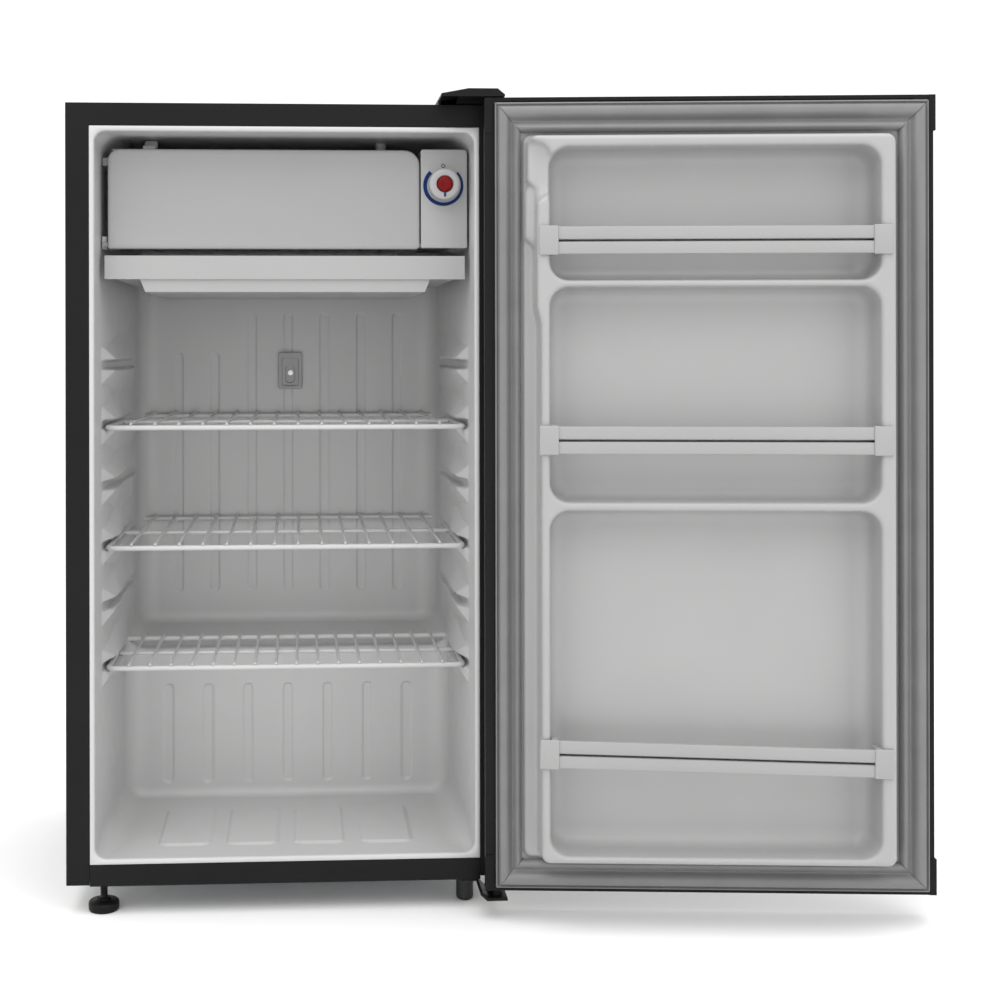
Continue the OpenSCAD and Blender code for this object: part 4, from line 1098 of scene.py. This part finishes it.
def soften(names, width, segments=2):
    """Rounded edges on carried-over parts."""
    for name in names:
        node = frame["nodes"][name]
        merge_corners(node)
        bevel = node.modifiers.new("edges", "BEVEL")
        bevel.width = width
        bevel.segments = segments
        bevel.limit_method = "ANGLE"
        bevel.angle_limit = math.radians(40)
        bevel.use_clamp_overlap = True


def draw_back(name, amount):
    """Pull a hidden filling in from the skins round it."""
    node = frame["nodes"][name]
    merge_corners(node)
    inward = node.modifiers.new("inward", "DISPLACE")
    inward.direction = "NORMAL"
    inward.mid_level = 0
    inward.strength = -amount


draw_back("cabinet_insulation", 0.004)
draw_back("gasket_magnets", 0.0004)
make_liner()
make_probe_shield()
make_door_liner()
make_door_core()
make_gasket()
make_shelf("shelf_upper", "upper_shelf", 14)
make_shelf("shelf_middle", "middle_shelf", 14)
make_shelf("shelf_lower", "lower_shelf", 16)
make_flap()
make_ice_box_frame()
make_housing()
make_housing_screw()
make_dial_ring()
make_dial()
make_button()
make_pad()
make_stud()
make_lower_hinge()
for which, tilt in (("upper", 0.0), ("middle", -0.1), ("lower", -1.25)):
    make_rack_bar("rack_bar_" + which, tilt)
soften(["cabinet_shell", "front_crosspiece", "drip_tray", "door_top_cap",
        "door_bottom_cap", "top_hinge_cover"], 0.0006)


# ---------------------------------------------------------------- floor, light and camera
FLOOR_HALF = 7.0  # metres


def make_floor():
    """Pale floor that curves up into a backdrop."""
    reach, bend, height, steps = 2.6, 2.2, 5.0, 16
    line = [(-6.0, 0.0), (0.0, 0.0)]
    for k in range(steps + 1):
        a = math.pi / 2 * k / steps
        line.append((reach + bend * math.sin(a), bend * (1 - math.cos(a))))
    line.append((reach + bend, height))
    bm = bmesh.new()
    left = [bm.verts.new((-FLOOR_HALF, y, z)) for y, z in line]
    right = [bm.verts.new((FLOOR_HALF, y, z)) for y, z in line]
    for k in range(len(line) - 1):
        bm.faces.new((left[k], right[k], right[k + 1], left[k + 1]))
    mesh = mesh_from(bm, "floor_mesh", Matrix.Identity(4))
    for face in mesh.polygons:
        face.use_smooth = True
    floor = bpy.data.objects.new("floor", mesh)
    bpy.context.scene.collection.objects.link(floor)
    look = Look("pale_floor", shine=0.1)
    look.colour(look.noise(2), grey(0.91), grey(0.93))
    look.roughness(look.noise(5), 0.85, 0.95)
    mesh.materials.append(look.material)


def make_light(name, centre, target, size, power):
    """Rectangular lamp; places and sizes in metres, power in watts."""
    data = bpy.data.lights.new(name, "AREA")
    data.shape = "RECTANGLE"
    data.size, data.size_y = size
    data.energy = power
    light = bpy.data.objects.new(name, data)
    bpy.context.scene.collection.objects.link(light)
    light.location = centre
    light.rotation_euler = (Vector(target) - Vector(centre)).to_track_quat("-Z", "Y").to_euler()


def make_world(strength):
    world = bpy.data.worlds.new("studio")
    world.use_nodes = True
    background = world.node_tree.nodes["Background"]
    background.inputs["Color"].default_value = (1, 1, 1, 1)
    background.inputs["Strength"].default_value = strength
    bpy.context.scene.world = world


CAMERA_PLACE = (15.94, -1568.98, 613.5)  # in the cabinet's millimetres
CAMERA_YAW = math.radians(2.846)
CAMERA_ROLL = math.radians(-0.09)
LENS = 52.14  # millimetres on a 36 mm sensor
SHIFT_X, SHIFT_Y = 0.1277, -0.1552


def make_camera():
    """Level camera in front, shifted rather than tilted, as in the photo."""
    data = bpy.data.cameras.new("camera")
    data.sensor_width = 36
    data.lens = LENS
    data.shift_x = SHIFT_X
    data.shift_y = SHIFT_Y
    camera = bpy.data.objects.new("camera", data)
    bpy.context.scene.collection.objects.link(camera)
    level = Matrix.Rotation(math.pi / 2, 4, "X")
    camera.matrix_world = (Matrix.Translation(place(*CAMERA_PLACE)) @ Matrix.Rotation(-CAMERA_YAW, 4, "Z")
                           @ level @ Matrix.Rotation(CAMERA_ROLL, 4, "Z"))
    bpy.context.scene.camera = camera


make_floor()
make_world(1.2)
make_light("key", centre=(-1.2, -2.6, 2.6), target=(0, 0, 0.5), size=(2.0, 1.4), power=12)
make_light("top", centre=(0, -1.1, 2.7), target=(0, -1.0, 0), size=(3.0, 2.4), power=40)
make_light("fill", centre=(1.6, -2.4, 1.2), target=(0.1, 0, 0.5), size=(1.6, 1.6), power=4)
bpy.context.scene.view_settings.view_transform = "Standard"
make_camera()
